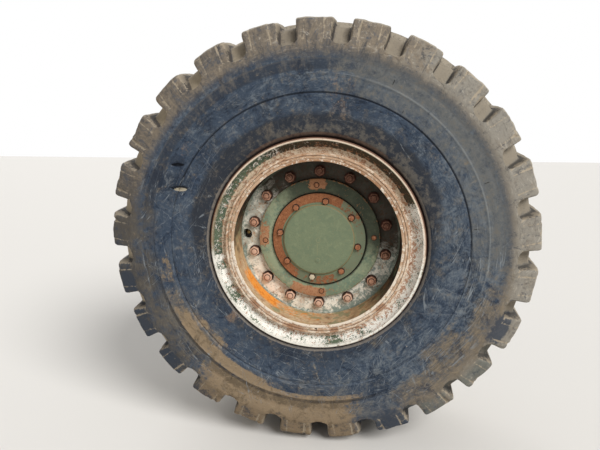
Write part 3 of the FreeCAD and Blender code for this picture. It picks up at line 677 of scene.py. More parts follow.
def hub_paint():
    """Grey-green of the carrier and hub, with rust at the carrier's edges and screws, painted shade above and in
    the creases, and a painted shadow around the cover's edge.
    """
    f = Finish("hub_paint", (138, 146, 118), 0.65)
    r = f.radius
    patches = f.cloud(54, 5, 0.66, seed=2)
    fine = f.cloud(7, 5, 0.75, seed=5)
    f.paint((112, 128, 108), patches.rise(0.46, 0.6) * 0.75)
    f.paint((158, 156, 128), f.cloud(24, 5, 0.72, seed=7).rise(0.52, 0.62) * 0.6)
    f.paint((96, 116, 98), (fine * 0.5 + patches * 0.5 + f.sector(262, 350, 16) * 0.05).rise(0.5, 0.58) * 0.6)
    # Painted shade on the upper side
    f.paint((48, 54, 42), (f.sector(-14, 134, 22) * 0.6 + patches.swing(0.8)).rise(0.1, 0.6) * 0.88)
    # Painted shade in the creases by the cover and at the carrier's outer step
    f.paint((52, 50, 40), ((r.rise(190, 178) + r.rise(216, 225)) * 0.3 + fine - 0.5).rise(0.12, 0.5) * 0.75)
    screws = f.sector(84, 98, 4) | f.sector(168, 188, 5) | f.sector(240, 277, 5)
    rust = (screws * r.rise(180, 196) * 0.2 + fine * 0.4 + patches * 0.6).rise(0.6, 0.66)
    f.paint((172, 122, 88), rust * 0.9)
    f.paint((132, 82, 54), rust * fine.rise(0.5, 0.6) * 0.7)
    f.paint((168, 120, 80), (r.rise(219, 224) * 0.08 + fine * 0.6 + patches * 0.4).rise(0.57, 0.64) * 0.75)
    f.paint((160, 128, 92), (r.line(212, 2) * f.sector(190, 300, 10) * 0.12 + fine).rise(0.6, 0.7) * 0.6)
    # Painted shadow around the cover's edge, wider at the lower right
    f.paint((30, 30, 25), (r.rise(177.5, 174) | r.rise(183, 177) * f.sector(228, 378, 16)) * 0.9)
    f.polish(0.85, rust)
    f.emboss(fine + rust, 0.5)
    return f.done()


def cover_paint():
    """Sage green dome, with a rusty ring under the bolts."""
    f = Finish("cover_paint", (113, 123, 96), 0.6)
    r = f.radius
    patches = f.cloud(45, 5, 0.68, seed=2)
    fine = f.cloud(5, 5, 0.78, seed=5)
    f.paint((104, 116, 92), patches.rise(0.46, 0.6) * 0.7)
    f.paint((126, 134, 104), f.cloud(22, 5, 0.72, seed=7).rise(0.52, 0.64) * 0.6)
    f.paint((140, 126, 92), (fine * 0.8 + patches * 0.2).rise(0.58, 0.68) * 0.6)
    f.paint((92, 104, 84), (fine * 0.7 + patches * 0.3).rise(0.46, 0.38) * 0.5)
    ring = r.rise(DOME + 3, DOME + 9)
    f.paint((108, 114, 92), ring * 0.7)
    share = f.sectors((60, 236, 8, 0.3), (262, 292, 6, 0.12), (22, 60, 6, 0.08), (236, 262, 5, 0.04))
    rust = ((share + f.cloud(20, 5, 0.72, seed=9) * 0.7 + fine.swing(0.5)) * ring).rise(0.42, 0.5)
    f.paint((148, 96, 64), rust)
    f.paint((112, 66, 42), rust * fine.rise(0.48, 0.58) * 0.75)
    f.paint((178, 124, 86), rust * f.cloud(14, 5, 0.72, seed=12).rise(0.54, 0.62) * 0.6)
    f.paint((148, 122, 84), (r.line(131, 2.5) * 0.25 + fine).rise(0.6, 0.72) * 0.8)
    level = f.x.line(-0.004, 0.0014) * f.z.band(-0.06, -0.012, 0.004)
    plug = f.away(COVER_PLUG)
    centre = r.line(9, 1.6)
    edges = level | plug.line(9.5, 1.2) | centre
    f.paint((146, 134, 98), (edges * 0.5 + fine.swing()).rise(0.25, 0.6) * 0.6)
    f.polish(0.85, rust)
    f.emboss(fine + rust * 0.7, 0.5)
    return f.done()


def rusty_steel(name, pale, dark, levels, grime=0, dusty=None):
    """Rusty nuts and bolts: pale on the head's face, with painted shade in the crevices below it and around a stud.

    The levels are how far out the washer, the head and the stud end. The grime is how much painted shade lies on
    those above, and how much pale dust on those below. One bolt, at the dusty place, has its rust covered."""
    washer, head, stud = levels
    f = Finish(name, pale, 0.72)
    fine = f.cloud(6, 4, 0.7, seed=3)
    f.paint(dark, fine.rise(0.46, 0.62) * 0.7)
    f.paint((210, 166, 142), f.cloud(9, 4, 0.7, seed=6).rise(0.54, 0.68) * 0.7)
    f.paint((222, 188, 164), (f.sector(176, 318, 14) * grime + fine - 0.5).rise(0.15, 0.75) * 0.6)
    if dusty:
        f.paint((196, 186, 160), (f.lens(dusty, 16, 16) + fine - 0.5).rise(0, 0.3) * 0.85)
    # Painted shade on the sides of the head, below its face
    low = (f.out.rise(head - 1.2, head - 3) * 0.8 + fine.swing(0.6)).rise(0.2, 0.6)
    f.paint((74, 48, 36), low * 0.85)
    # Painted shade: the washer dark, and a ring around the stud's end
    f.paint((50, 34, 27), f.out.rise(washer + 2.5, washer - 0.5) * 0.8)
    f.paint((50, 34, 27), f.out.band(head + 0.3, stud - 1.2, 0.15) * 0.85)
    # Painted shade on those above, where the rim shades them
    f.paint((78, 42, 30), (f.sector(-14, 122, 20) * grime + fine - 0.5).rise(0.1, 0.7) * 0.85)
    f.emboss(fine, 0.6)
    return f.done()


def axle_paint():
    """Dirty green paint of the axle end, with grease and rust."""
    f = Finish("axle_paint", (66, 86, 72), 0.6)
    patches = f.cloud(70, 5, 0.65, seed=2)
    fine = f.cloud(8, 5, 0.7, seed=5)
    f.paint((44, 50, 44), patches.rise(0.46, 0.62) * 0.8)
    f.paint((128, 114, 96), (f.cloud(40, 5, 0.7, seed=7)).rise(0.54, 0.7) * 0.7)
    f.paint((140, 82, 54), (fine * 0.6 + patches * 0.4).rise(0.55, 0.66) * 0.85)
    f.emboss(fine, 0.6)
    return f.done()


def brake_iron():
    """Cast iron: a bright swept track with fine circles, brown rust inside it."""
    f = Finish("brake_iron", (132, 128, 124), 0.42, metallic=0.7)
    r = f.radius
    circles = f.cloud(3, 3, 0.6, f.wrapped(30, 1, 200))
    f.paint((104, 100, 96), circles.rise(0.46, 0.6) * 0.8)
    rust = (r.rise(186, 180) * 0.5 + f.cloud(30, 5, 0.7) * 0.6).rise(0.42, 0.6)
    f.paint((118, 70, 48), rust)
    f.polish(0.85, rust)
    f.emboss(circles, 0.15)
    return f.done()


def valve_brass():
    f = Finish("valve_brass", (170, 140, 88), 0.42, metallic=0.85)
    grime = f.cloud(7, 4, 0.7)
    f.paint((96, 82, 62), grime.rise(0.48, 0.62) * 0.8)
    f.polish(0.8, grime.rise(0.48, 0.62))
    f.emboss(grime, 0.2)
    return f.done()


# Shapes


def lathe(mesh, outline, steps, centre=(0, 0), sweep=360, start=0, round_off=0.0):
    """Spin corners (radius, at) about an axis that points outboard through the centre (x, z)."""
    middle = Vector((centre[0], 0, centre[1])) * MM
    turn = Matrix.Rotation(-radians(start), 3, "Y")
    corners = [mesh.verts.new(middle + turn @ spot(radius, at)) for radius, at in outline]
    pairs = list(zip(corners, corners[1:]))
    if outline[0][0] > 0 or outline[-1][0] > 0:
        pairs.append((corners[-1], corners[0]))
    edges = [mesh.edges.new(pair) for pair in pairs]
    whole = sweep == 360
    before = set(mesh.verts) - set(corners)
    bmesh.ops.spin(
        mesh, geom=corners + edges, cent=middle, axis=(0, -1, 0), angle=radians(sweep), steps=steps,
        use_merge=whole,
    )
    made = [v for v in mesh.verts if v not in before]
    bmesh.ops.remove_doubles(mesh, verts=made, dist=SAME_POINT * MM)
    made = [v for v in mesh.verts if v not in before]
    if not whole:
        rim = list({e for v in made for e in v.link_edges if e.is_boundary})
        bmesh.ops.holes_fill(mesh, edges=rim)
    faces = list({face for v in made for face in v.link_faces})
    bmesh.ops.recalc_face_normals(mesh, faces=faces)
    if round_off:
        sharp = [e for e in {e for v in made for e in v.link_edges}
                 if e.is_manifold and e.calc_face_angle() > radians(22)]
        bevel(mesh, sharp, round_off)


def turned(outline, steps=256, **settings):
    """A new mesh, spun from one outline."""
    mesh = bmesh.new()
    lathe(mesh, outline, steps, **settings)
    return mesh


def from_centre(outline, side=1):
    """Corners (radius, at) of an outline whose distances are to one side of the wheel's centre plane."""
    return [(radius, WHEEL_CENTRE + side * out) for radius, out in outline]


def bevel(mesh, edges, width, segments=2):
    bmesh.ops.bevel(
        mesh, geom=edges, offset=width * MM, offset_type="OFFSET", segments=segments, profile=0.5,
        affect="EDGES", clamp_overlap=True, material=-1,
    )


def bend(centre, radius, start, end, count=8):
    """Corners (radius, at) along a bend about a centre. 0 degrees points away from the axle, 90 outboard."""
    for i in range(count + 1):
        angle = radians(start + (end - start) * i / count)
        yield centre[0] + radius * cos(angle), centre[1] + radius * sin(angle)


def outward(radius, at, angle, turn=0):
    """Where a bolt stands that points outboard."""
    facing = Matrix.Rotation(pi / 2, 4, "X") @ Matrix.Rotation(radians(turn), 4, "Z")
    return Matrix.Translation(spot(radius, at, angle)) @ facing


def inboard(x, at, z):
    """Where a bolt stands that points inboard."""
    return Matrix.Translation(Vector((x, -at, z)) * MM) @ Matrix.Rotation(3 * pi / 2, 4, "X")


def raised(where, height):
    """The same place, moved along the direction that it points."""
    return where @ Matrix.Translation((0, 0, height * MM))


def button(mesh, where, radius, height, chamfer, corners=20):
    """A low disc with its far edge bevelled, such as a washer or a stud's end. Returns its upright edges."""
    made = bmesh.ops.create_cone(
        mesh, cap_ends=True, segments=corners, radius1=radius * MM, radius2=radius * MM, depth=height * MM,
        matrix=raised(where, height / 2),
    )["verts"]
    local = where.inverted()
    top, sides = [], []
    for edge in {e for v in made for e in v.link_edges}:
        low, high = sorted((local @ v.co).z / MM for v in edge.verts)
        if low > height - 0.1:
            top.append(edge)
        elif high - low > height / 2:
            sides.append(edge)
    bevel(mesh, top, chamfer)
    return [e for e in sides if e.is_valid]


def hexagon(mesh, where, across, height, chamfer):
    """A bolt head or nut with its outer corners turned off."""
    bevel(mesh, button(mesh, where, across / 3 ** 0.5, height, chamfer, 6), chamfer * 0.35, 1)


def in_scene(name, data):
    """An object in the scene that shows a mesh, a lamp or a camera."""
    made = bpy.data.objects.new(name, data)
    bpy.context.collection.objects.link(made)
    return made


def mesh_object(name, mesh):
    data = bpy.data.meshes.new(name)
    mesh.to_mesh(data)
    mesh.free()
    return in_scene(name, data)


def make_piece(name, mesh, material, replaced, body="wheel"):
    """Turn a mesh into a piece of the model that rides on a body and stands for a solid."""
    bmesh.ops.remove_doubles(mesh, verts=mesh.verts, dist=SAME_POINT * MM)
    bmesh.ops.recalc_face_normals(mesh, faces=mesh.faces)
    piece = mesh_object(name, mesh)
    piece.data.shade_smooth()
    piece.data.set_sharp_from_angle(angle=radians(CREASE))
    piece.data.materials.append(material)
    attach(piece, body)
    if replaced:
        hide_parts(replaced)
    return piece


def drill(piece, circle, angle, radius, at):
    """Cut a round hole through a piece, parallel to the axle."""
    mesh = bmesh.new()
    bmesh.ops.create_cone(
        mesh, cap_ends=True, segments=48, radius1=radius * MM, radius2=radius * MM, depth=DRILL_DEPTH * MM,
        matrix=outward(circle, at, angle),
    )
    cutter = mesh_object("hole", mesh)
    cut = piece.modifiers.new("hole", "BOOLEAN")
    cut.object = cutter
    cut.solver = "EXACT"
    whole = piece.data
    bpy.context.view_layer.update()
    drilled = bpy.data.meshes.new_from_object(piece.evaluated_get(bpy.context.evaluated_depsgraph_get()))
    piece.modifiers.clear()
    piece.data = drilled
    drilled.name = whole.name
    for data in (whole, cutter.data):
        bpy.data.meshes.remove(data)


def rounded_copy(node, width):
    """A mesh of a solid with its flat faces joined and its sharp edges rounded."""
    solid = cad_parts[node]
    mesh = bmesh.new()
    mesh.from_mesh(solid.data)
    mesh.transform(solid.matrix_world)
    bmesh.ops.remove_doubles(mesh, verts=mesh.verts, dist=0.01 * MM)
    bmesh.ops.dissolve_limit(mesh, angle_limit=radians(1), verts=mesh.verts, edges=mesh.edges)
    sharp = [e for e in mesh.edges if e.is_manifold and e.calc_face_angle() > radians(30)]
    bevel(mesh, sharp, width)
    return mesh


# Tyre


def tyre_half():
    """One side of the tyre as rings, from the bead's toe to the middle of the tread.

    Each ring has its radius and distance from the centre plane on the plain surface, and the same two on the
    floor of a groove between lugs."""
    plain = [
        (BEAD_SEAT, BEAD_TOE), (BEAD_SEAT, 243), (322, RIM_HALF_WIDTH), (350, RIM_HALF_WIDTH), (362, 250.5),
        (373, 259.5), (382, 270), (389, 279), (397, 285.5), (408, 288.6), (424, 289.8), (444, 290.6), (468, 291.4),
        (492, 292), (508, 292.4), (519, 292.6), (523, 292.2), (525.5, 289.4), (529, 289.4), (531.5, 292.2),
        (537, 292.8), (547, 292.8), (558, 292.7), (567, 292.6), (576, 292.3), (583, 292), (586.5, 293.2),
        (589.5, 293.2), (592.5, 291), (602, 290.6), (618, 290.6), (629, 290.4), (633, 289.2), (638, 289.2),
        (642, 290), (654, 289.8), (666, 289.4),
    ]
    rings = [(*ring, *ring) for ring in plain]
    rings += [
        (676, 288.6, 676, 288.6), (684, 287, 683, 284.5), (691, 284.4, 685.5, 275), (699, 281, 687, 264.5),
        (708, 277, 690, 255), (718, 272.6, 695, 246), (729, 267.6, 701, 238.4), (740, 262.8, 708, 231.4),
        (750, 258.6, 715, 224.8), (759, 254.4, 722, 218.2), (766, 249.4, 729, 211.4), (771, 243, 735.5, 204.4),
        (774.4, 234.6, 741.5, 196.6), (776.4, 223, 746.5, 187.4), (777.6, 208, 750.5, 176.4),
        (779, 192, 753, 164.4),
        (780.6, 173, 754, 152), (782.4, 154, 754, 140), (784.4, 134, 754, 125), (786.4, 113, 754, 108),
        (788, 92, 754, 90), (789.6, 71, 754, 70), (790.6, 50, 754, 50), (791.4, 30, 754, 30), (791.8, 14, 754, 14),
    ]
    return rings


# Places across half a pitch, in millimetres from the middle of its groove, and how deep the groove is there
COLUMNS = ((-44, 0), (-38, 0.02), (-34.5, 0.12), (-32, 0.42), (-29.5, 0.8), (-26, 0.97), (-13, 1), (0, 1),
           (13, 1), (26, 0.97), (29.5, 0.8), (32, 0.42), (34.5, 0.12), (38, 0.02), (44, 0))
SIDEWALL_CUTS = ((150, 564, 24, 6.5, 9, 0.35), (158, 524, 32, 8, 8, 0.3))


def sidewall_cut(radius, angle):
    """How far the sidewall stands in or out at its two old cuts, which run across it almost level."""
    move = 0
    x = radius * cos(radians(angle))
    z = radius * sin(radians(angle))
    for cut_angle, cut_radius, half_length, half_height, depth, swell in SIDEWALL_CUTS:
        along = x - cut_radius * cos(radians(cut_angle))
        up = z - cut_radius * sin(radians(cut_angle)) - along * 0.05
        inside = 1 - (along / half_length) ** 2 - (up / half_height) ** 2
        if inside > 0:
            move -= depth * min(1, inside * 3)
        lump = 1 - (along / half_length / 1.2) ** 2 - ((up - half_height - 14) / 22) ** 2
        if lump > 0:
            move += swell * lump
    return move


def groove_squeeze(radius):
    """How far the grooves narrow to a round end as they run out on the sidewall."""
    before_end = max(0, GROOVE_HALF_WIDTH - (radius - 682) * 1.15)
    return max(0.35, (1 - (before_end / GROOVE_HALF_WIDTH) ** 2) ** 0.5)


def tyre_shape():
    half = tyre_half()
    mirrored = [(r, -out, groove_r, -groove_out) for r, out, groove_r, groove_out in reversed(half)]
    middle = [(CROWN, 0, CROWN, 0)]
    cavity = [(CAVITY, -BEAD_TOE, CAVITY, -BEAD_TOE), (CAVITY, BEAD_TOE, CAVITY, BEAD_TOE)]
    rings = half + middle + mirrored + cavity
    mesh = bmesh.new()
    ring_layer = mesh.verts.layers.int.new("ring")
    corners = []
    for index, (radius, out, _, _) in enumerate(rings):
        corner = mesh.verts.new(spot(radius, WHEEL_CENTRE + out))
        corner[ring_layer] = index
        corners.append(corner)
    edges = [mesh.edges.new(pair) for pair in zip(corners, corners[1:] + corners[:1])]
    columns = len(COLUMNS) * 2 * LUGS
    turns = {"cent": (0, 0, 0), "axis": (0, -1, 0)}
    bmesh.ops.spin(mesh, geom=corners + edges, angle=radians(PITCH), steps=2 * len(COLUMNS), **turns)
    whole = list(mesh.verts) + list(mesh.edges) + list(mesh.faces)
    bmesh.ops.spin(
        mesh, geom=whole, angle=radians(360 - PITCH), steps=LUGS - 1, use_duplicate=True, **turns,
    )
    bmesh.ops.remove_doubles(mesh, verts=mesh.verts, dist=0.1 * MM)
    groove_layer = mesh.verts.layers.float.new("groove")
    worn_layer = mesh.verts.layers.float.new("worn")
    for vert in mesh.verts:
        ring_radius, ring_out, groove_radius, groove_out = rings[vert[ring_layer]]
        column = round(degrees(atan2(vert.co.z, vert.co.x)) / 360 * columns) % columns
        groove, place = divmod(column, len(COLUMNS))
        offset, depth = COLUMNS[place]
        if abs(offset) < 40 and 682 < ring_radius < 712:
            offset *= groove_squeeze(ring_radius)
        angle = OUTER_GROOVE_ANGLE + groove * PITCH / 2 + degrees(offset / max(ring_radius, 684))
        facing = 1 if groove % 2 == 0 else -1
        if ring_out * facing < -GROOVE_PAST_MIDDLE - 1:
            depth = 0
        radius, out = ring_radius, ring_out
        where = spot(radius, WHEEL_CENTRE + out, angle)
        lump = noise.noise(where * 16) + 0.6 * noise.noise(where * 40)
        torn = 0
        if radius > 690:
            by_edge = 1 if 31 < abs(offset) < 40 else 0.45
            by_shoulder = max(0, 1 - abs(abs(out) - 236) / 46)
            torn = max(0, lump + 0.1) * by_shoulder * by_edge * 0.28 + max(0, lump) * 0.08 * by_edge
            depth = min(1, depth + torn * (1 - depth))
        radius += (groove_radius - ring_radius) * depth
        out += (groove_out - ring_out) * depth
        if vert[ring_layer] < len(rings) - 2 and radius > 395:
            rough = noise.noise(where * 22) * 1.2 + noise.noise(where * 60) * 0.7
            if ring_radius > 690:
                radius += min(0, rough - 0.5) * 1.5
            else:
                move = 0.35 * min(0, rough - 0.5)
                if 480 < radius < 620 and out > 0:
                    move += sidewall_cut(radius, angle)
                out += move if out > 0 else -move
        vert[groove_layer] = depth if ring_radius > 684 else 0
        vert[worn_layer] = torn + (0.1 if 31 < abs(offset) < 36 and ring_radius > 690 else 0)
        vert.co = spot(radius, WHEEL_CENTRE + out, angle)
    return mesh


# Rim


def flange_shape(side):
    """A flange ring: foot, wall, channel and worn lip. The side is 1 outboard and -1 inboard."""
    centre = (FLANGE_LIP - FLANGE_WALL - FLANGE_BEND, RIM_HALF_WIDTH + FLANGE_WALL + FLANGE_BEND)
    lip_out = centre[1]
    outline = [(BEAD_SEAT + 0.4, RIM_HALF_WIDTH), (BEAD_SEAT + 0.4, FOOT_OUT), (FLANGE_FOOT - 2, FOOT_OUT),
               (FLANGE_FOOT, FOOT_OUT - 2)]
    outline += bend(centre, FLANGE_BEND, -90, 0, 12)
    outline += [(FLANGE_LIP - 8, lip_out), (FLANGE_LIP - 3, lip_out), (FLANGE_LIP - 0.8, lip_out - 1.6),
                (FLANGE_LIP, lip_out - 4)]
    outline += bend(centre, FLANGE_BEND + FLANGE_WALL, -8, -82, 10)
    mesh = turned(from_centre(outline, side))
    for vert in mesh.verts:
        radius = Vector((vert.co.x, 0, vert.co.z)).length / MM
        if radius > 366:
            worn = noise.noise(vert.co * 26) * 0.7 + noise.noise(vert.co * 70) * 0.35
            vert.co.y += side * max(0, worn) * 1.6 * MM
    return mesh


def rim_base_shape():
    back = -(FOOT_OUT + 12)
    outline = (
        (RIM_BORE, GUTTER_OUT), (RIM_BORE, back), (FLANGE_FOOT, back), (FLANGE_FOOT, -FOOT_OUT),
        (BEAD_SEAT, -FOOT_OUT), (BEAD_SEAT, -SEAT_END), (BASE_RADIUS, -SEAT_END), (BASE_RADIUS, GROOVE_OUT[0]),
        (GROOVE_FLOOR, GROOVE_OUT[0]), (GROOVE_FLOOR, GROOVE_OUT[1]), (GUTTER, GROOVE_OUT[1]), (GUTTER, GUTTER_OUT),
    )
    return turned(from_centre(outline), round_off=1.2)


def band_shape():
    outline = (
        (BASE_RADIUS + 0.05, SEAT_END), (BASE_RADIUS + 0.05, GROOVE_OUT[0]), (319, 272), (319, BAND_OUT),
        (BAND_LIP, BAND_OUT), (BAND_LIP, FOOT_OUT), (BEAD_SEAT, FOOT_OUT), (BEAD_SEAT, SEAT_END),
    )
    return turned(from_centre(outline), round_off=1.1)


def lock_ring_shape():
    front = GUTTER_OUT + 1.5
    outline = (
        (GROOVE_FLOOR, 259.2), (305.8, 259.2), (LOCK_RING, 272.2), (LOCK_RING, front), (309.2, front),
        (309.2, 269.8), (GROOVE_FLOOR, 269.8),
    )
    gap = degrees(9 / 310)
    return turned(from_centre(outline), 250, sweep=360 - gap, start=-90 + gap / 2, round_off=0.8)


def weld_shape():
    """Beads of weld where the disc meets the rim's bore, on both faces of the disc."""
    mesh = bmesh.new()
    for at, side in ((DISC_FACE, 1), (DISC_BACK, -1)):
        outline = [(RIM_BORE + 0.3, at + side * 7), (294.6, at + side * 4.8), (291.6, at + side * 1.6),
                   (290.6, at - side * 0.3), (RIM_BORE + 0.3, at - side * 0.3)]
        lathe(mesh, outline, 420)
    for vert in mesh.verts:
        angle = atan2(vert.co.z, vert.co.x)
        radius = Vector((vert.co.x, 0, vert.co.z)).length / MM
        if radius < 297:
            ripple = 0.45 * sin(angle * 210) + 1.1 * noise.noise(vert.co * 45)
            scale = 1 + ripple / radius
            vert.co.x *= scale
            vert.co.z *= scale
    return mesh


def disc_shape():
    inner, outer = PILOT + 0.5, RIM_BORE - 0.05
    return turned(((inner, DISC_BACK), (inner, DISC_FACE), (outer, DISC_FACE), (outer, DISC_BACK)), round_off=1.5)


# Fasteners


def nuts_shape():
    mesh = bmesh.new()
    for i, angle in enumerate(around(NUTS, 90)):
        twist = 47 * i % 60
        button(mesh, outward(NUT_CIRCLE, DISC_FACE, angle), 21.5, 3.4, 1)
        hexagon(mesh, outward(NUT_CIRCLE, DISC_FACE + 3, angle, twist), 33, 16, 2.2)
        # A thin ring around the stud, there to carry its painted shade
        button(mesh, outward(NUT_CIRCLE, DISC_FACE + 15, angle), 12.4, 4.5, 0.1)
        button(mesh, outward(NUT_CIRCLE, DISC_FACE + 15, angle), 9.8, 9, 1.5)
    return mesh


def cover_bolts_shape():
    mesh = bmesh.new()
    for i, angle in enumerate(COVER_BOLT_ANGLES):
        button(mesh, outward(COVER_BOLT_CIRCLE, COVER_RIM_FACE, angle), 13.5, 2.2, 0.6)
        hexagon(mesh, outward(COVER_BOLT_CIRCLE, COVER_RIM_FACE + 2, angle, 37 * i % 60), 19, 9, 1.8)
    return mesh


def carrier_screws_shape():
    mesh = bmesh.new()
    for i, angle in enumerate(around(4, 93)):
        hexagon(mesh, outward(PILOT - 22.5, CARRIER_FACE, angle, 23 * i), 15, 3, 0.9)
        button(mesh, outward(PILOT - 22.5, CARRIER_FACE, angle), 11, 0.8, 0.3)
    return mesh


def brake_disc_bolts_shape():
    mesh = bmesh.new()
    for angle in around(8):
        hexagon(mesh, outward(136, BRAKE_DISC_BACK, angle) @ Matrix.Rotation(pi, 4, "X"), 18, 9, 1.5)
    return mesh


def caliper_bolts_shape():
    mesh = bmesh.new()
    for x in (52, -52):
        hexagon(mesh, inboard(x, 12, 180.5), 30, 12, 2)
    return mesh


def caliper_fittings_shape():
    """A hose fitting between the boots of two slide pins, and a bleed screw, on the caliper's inboard face."""
    mesh = bmesh.new()
    hose, bleed, *pins = (inboard(x, 9.3, z) for x, z in ((-18, 236), (30, 242), (-72, 222), (72, 222)))
    button(mesh, hose, 12, 9, 1)
    hexagon(mesh, raised(hose, 8.7), 19, 7, 1.2)
    hexagon(mesh, bleed, 11, 7, 0.8)
    button(mesh, raised(bleed, 6.7), 3.4, 9, 0.8)
    for pin in pins:
        for level in range(3):
            button(mesh, raised(pin, level * 3.7), 13 - level * 1.5, 4, 1.4)
    return mesh


# Hub and axle end


def hub_shape():
    outline = (
        (82.05, HUB_BACK), (148, HUB_BACK), (148, 144), (152, 151), (199, 226), (205, 236), (205, 270), (212, 277),
        (277, 277), (277, DISC_BACK), (PILOT, DISC_BACK), (PILOT, HUB_FRONT), (HUB_CAVITY, HUB_FRONT),
        (HUB_CAVITY, 232), (82.05, 232),
    )
    return turned(outline, 192, round_off=2)


def carrier_shape():
    outline = (
        (0, HUB_FRONT - 36), (HUB_CAVITY - 0.5, HUB_FRONT - 36), (HUB_CAVITY - 0.5, HUB_FRONT),
        (PILOT, HUB_FRONT), (PILOT, CARRIER_FACE), (COVER + 4.5, CARRIER_FACE), (COVER + 3.5, CARRIER_FACE - 5),
        (0, CARRIER_FACE - 5),
    )
    return turned(outline, round_off=1.8)


def cover_shape():
    outline = (
        (0, CARRIER_FACE - 5), (COVER, CARRIER_FACE - 5), (COVER, COVER_RIM_FACE), (DOME + 3, COVER_RIM_FACE),
        (DOME, COVER_RIM_FACE + 3), (DOME - 1, DOME_FACE - 5), (DOME - 6, DOME_FACE - 1.2),
        (DOME - 20, DOME_FACE - 0.2), (0, DOME_FACE),
    )
    mesh = turned(outline, round_off=1)
    plug = Matrix.Translation(COVER_PLUG) @ Matrix.Rotation(pi / 2, 4, "X")
    button(mesh, plug, 9.5, 1.2, 0.5)
    return mesh


def brake_disc_shape():
    inner, outer = BRAKE_DISC
    front = HUB_BACK - 0.05
    return turned(((inner, BRAKE_DISC_BACK), (outer, BRAKE_DISC_BACK), (outer, front), (inner, front)), 192,
                  round_off=1.2)


def valve_shape():
    """Hexagonal foot on the rim's bore, a bent-over stem and its cap."""
    centre = (-RIM_BORE + 20, 0)
    mesh = bmesh.new()
    foot = Matrix.Translation(Vector((-RIM_BORE + 0.3, -262, 0)) * MM) @ Matrix.Rotation(pi / 2, 4, "Y")
    hexagon(mesh, foot, 17.3, 12, 1)
    lathe(mesh, ((0, 252), (8, 252), (8, 268), (6, 270), (6, 281), (7, 281.5), (7, 296), (5.5, 297), (0, 297)), 24,
          centre=centre, round_off=0.4)
    button(mesh, raised(foot, 10), 7, 8, 1)
    bmesh.ops.transform(mesh, matrix=Matrix.Rotation(radians(1.5), 4, "Y"), verts=mesh.verts)
    return mesh


# Setting


def camera():
    data = bpy.data.cameras.new("camera")
    data.sensor_width = 36
    data.lens = 31.86
    eye = in_scene("camera", data)
    eye.location = (0.1735, -2.2677, 0.4637)
    eye.rotation_euler = (pi / 2 - 0.210, 0, 0.127)
    bpy.context.scene.camera = eye


def lamp(name, place, softness, power):
    """Even light that comes from the direction of a place, soft like that of a bright cloudy sky."""
    data = bpy.data.lights.new(name, "SUN")
    data.angle = radians(softness)
    data.energy = power
    light = in_scene(name, data)
    light.location = place
    light.rotation_euler = (-Vector(place)).to_track_quat("-Z", "Y").to_euler()


def world_light():
    """White where the camera, glass or metal looks, and a plain soft light on the object."""
    world = bpy.data.worlds.new("studio")
    bpy.context.scene.world = world
    world.use_nodes = True
    tree = world.node_tree
    background = tree.nodes["Background"]
    background.inputs["Color"].default_value = (1, 1, 1, 1)
    path = tree.nodes.new("ShaderNodeLightPath")
    seen = path.outputs["Is Camera Ray"]
    for name in ("Is Glossy Ray", "Is Transmission Ray"):
        both = tree.nodes.new("ShaderNodeMath")
        both.operation = "MAXIMUM"
        tree.links.new(seen, both.inputs[0])
        tree.links.new(path.outputs[name], both.inputs[1])
        seen = both.outputs[0]
    strength = tree.nodes.new("ShaderNodeMapRange")
    tree.links.new(seen, strength.inputs["Value"])
    strength.inputs["To Min"].default_value = 0.42
    strength.inputs["To Max"].default_value = 1
    tree.links.new(strength.outputs["Result"], background.inputs["Strength"])


def floor():
    mesh = bmesh.new()
    bmesh.ops.create_grid(mesh, x_segments=1, y_segments=1, size=12,
                          matrix=Matrix.Translation((0, 0, -(CROWN + 0.5) * MM)))
    ground = mesh_object("floor", mesh)
    material = bpy.data.materials.new("floor")
    material.use_nodes = True
    shader = material.node_tree.nodes["Principled BSDF"]
    shader.inputs["Base Color"].default_value = rgb(212, 209, 204)
    shader.inputs["Roughness"].default_value = 0.9
    ground.data.materials.append(material)


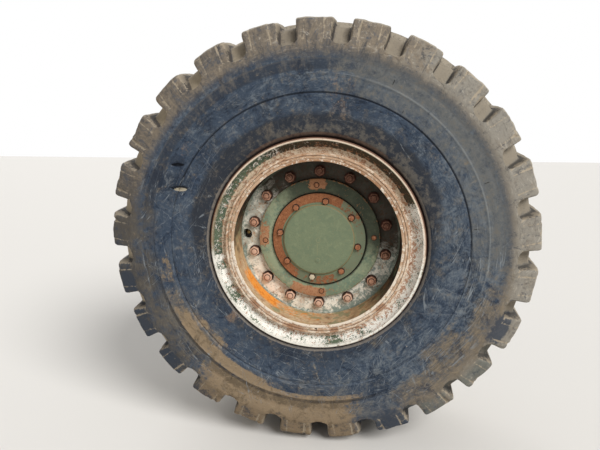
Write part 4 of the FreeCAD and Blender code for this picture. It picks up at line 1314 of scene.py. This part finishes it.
def main():
    camera()
    world_light()
    lamp("key", (2.6, -2.6, 3.2), 28, 3.1)
    lamp("back", (-1.2, 3.2, 1.9), 40, 1.1)
    floor()

    make_piece("tyre_carcass", tyre_shape(), tyre_rubber(), "tyre")
    flange = flange_paint()
    make_piece("outer_flange_ring", flange_shape(1), flange, "outer_flange")
    make_piece("inner_flange_ring", flange_shape(-1), flange, "inner_flange")
    make_piece("rim_base_ring", rim_base_shape(), bore_paint(), "rim_base")
    ring_paint = rim_ring_paint()
    make_piece("bead_seat_band_ring", band_shape(), ring_paint, "bead_seat_band")
    make_piece("lock_ring_split", lock_ring_shape(), ring_paint, "lock_ring")
    disc = disc_paint()
    plate = make_piece("disc_plate", disc_shape(), disc, "wheel_disc")
    drill(plate, *HAND_HOLE, at=(DISC_BACK + DISC_FACE) / 2)
    make_piece("disc_weld", weld_shape(), disc, None)
    nut_rust = rusty_steel("nut_rust", (184, 138, 112), (128, 84, 60), (152.4, 168, 173), 0.6)
    bolt_rust = rusty_steel("bolt_rust", (154, 100, 68), (104, 64, 42), (179.2, 188, 190),
                            dusty=spot(COVER_BOLT_CIRCLE, 0, COVER_BOLT_ANGLES[4]))
    screw_rust = rusty_steel("screw_rust", (160, 108, 74), (112, 70, 46), (169.6, 172, 174))
    make_piece("nuts_on_studs", nuts_shape(), nut_rust, "wheel_nuts")
    green = hub_paint()
    body = make_piece("hub_body", hub_shape(), green, "hub")
    drill(body, *HAND_HOLE[:2], 23.5, at=(277 + DISC_BACK) / 2)
    make_piece("carrier_flange", carrier_shape(), green, "planet_carrier")
    make_piece("carrier_screw_heads", carrier_screws_shape(), screw_rust, "carrier_screws")
    make_piece("cover_dome", cover_shape(), cover_paint(), "hub_cover")
    make_piece("cover_bolt_heads", cover_bolts_shape(), bolt_rust, "cover_bolts")
    axle = axle_paint()
    make_piece("spindle_flanged", rounded_copy("spindle", 1.5), axle, "spindle", "axle_end")
    make_piece("brake_rotor", brake_disc_shape(), brake_iron(), "brake_disc")
    make_piece("brake_rotor_bolts", brake_disc_bolts_shape(), bolt_rust, "brake_disc_bolts")
    make_piece("caliper_housing", rounded_copy("brake_caliper", 3), axle, "brake_caliper",
               "axle_end")
    make_piece("caliper_bolt_heads", caliper_bolts_shape(), bolt_rust, "caliper_bolts", "axle_end")
    make_piece("caliper_fittings", caliper_fittings_shape(), axle, None, "axle_end")
    make_piece("valve_and_cap", valve_shape(), valve_brass(), "valve_stem")

    bpy.context.scene.view_settings.view_transform = "Standard"


main()
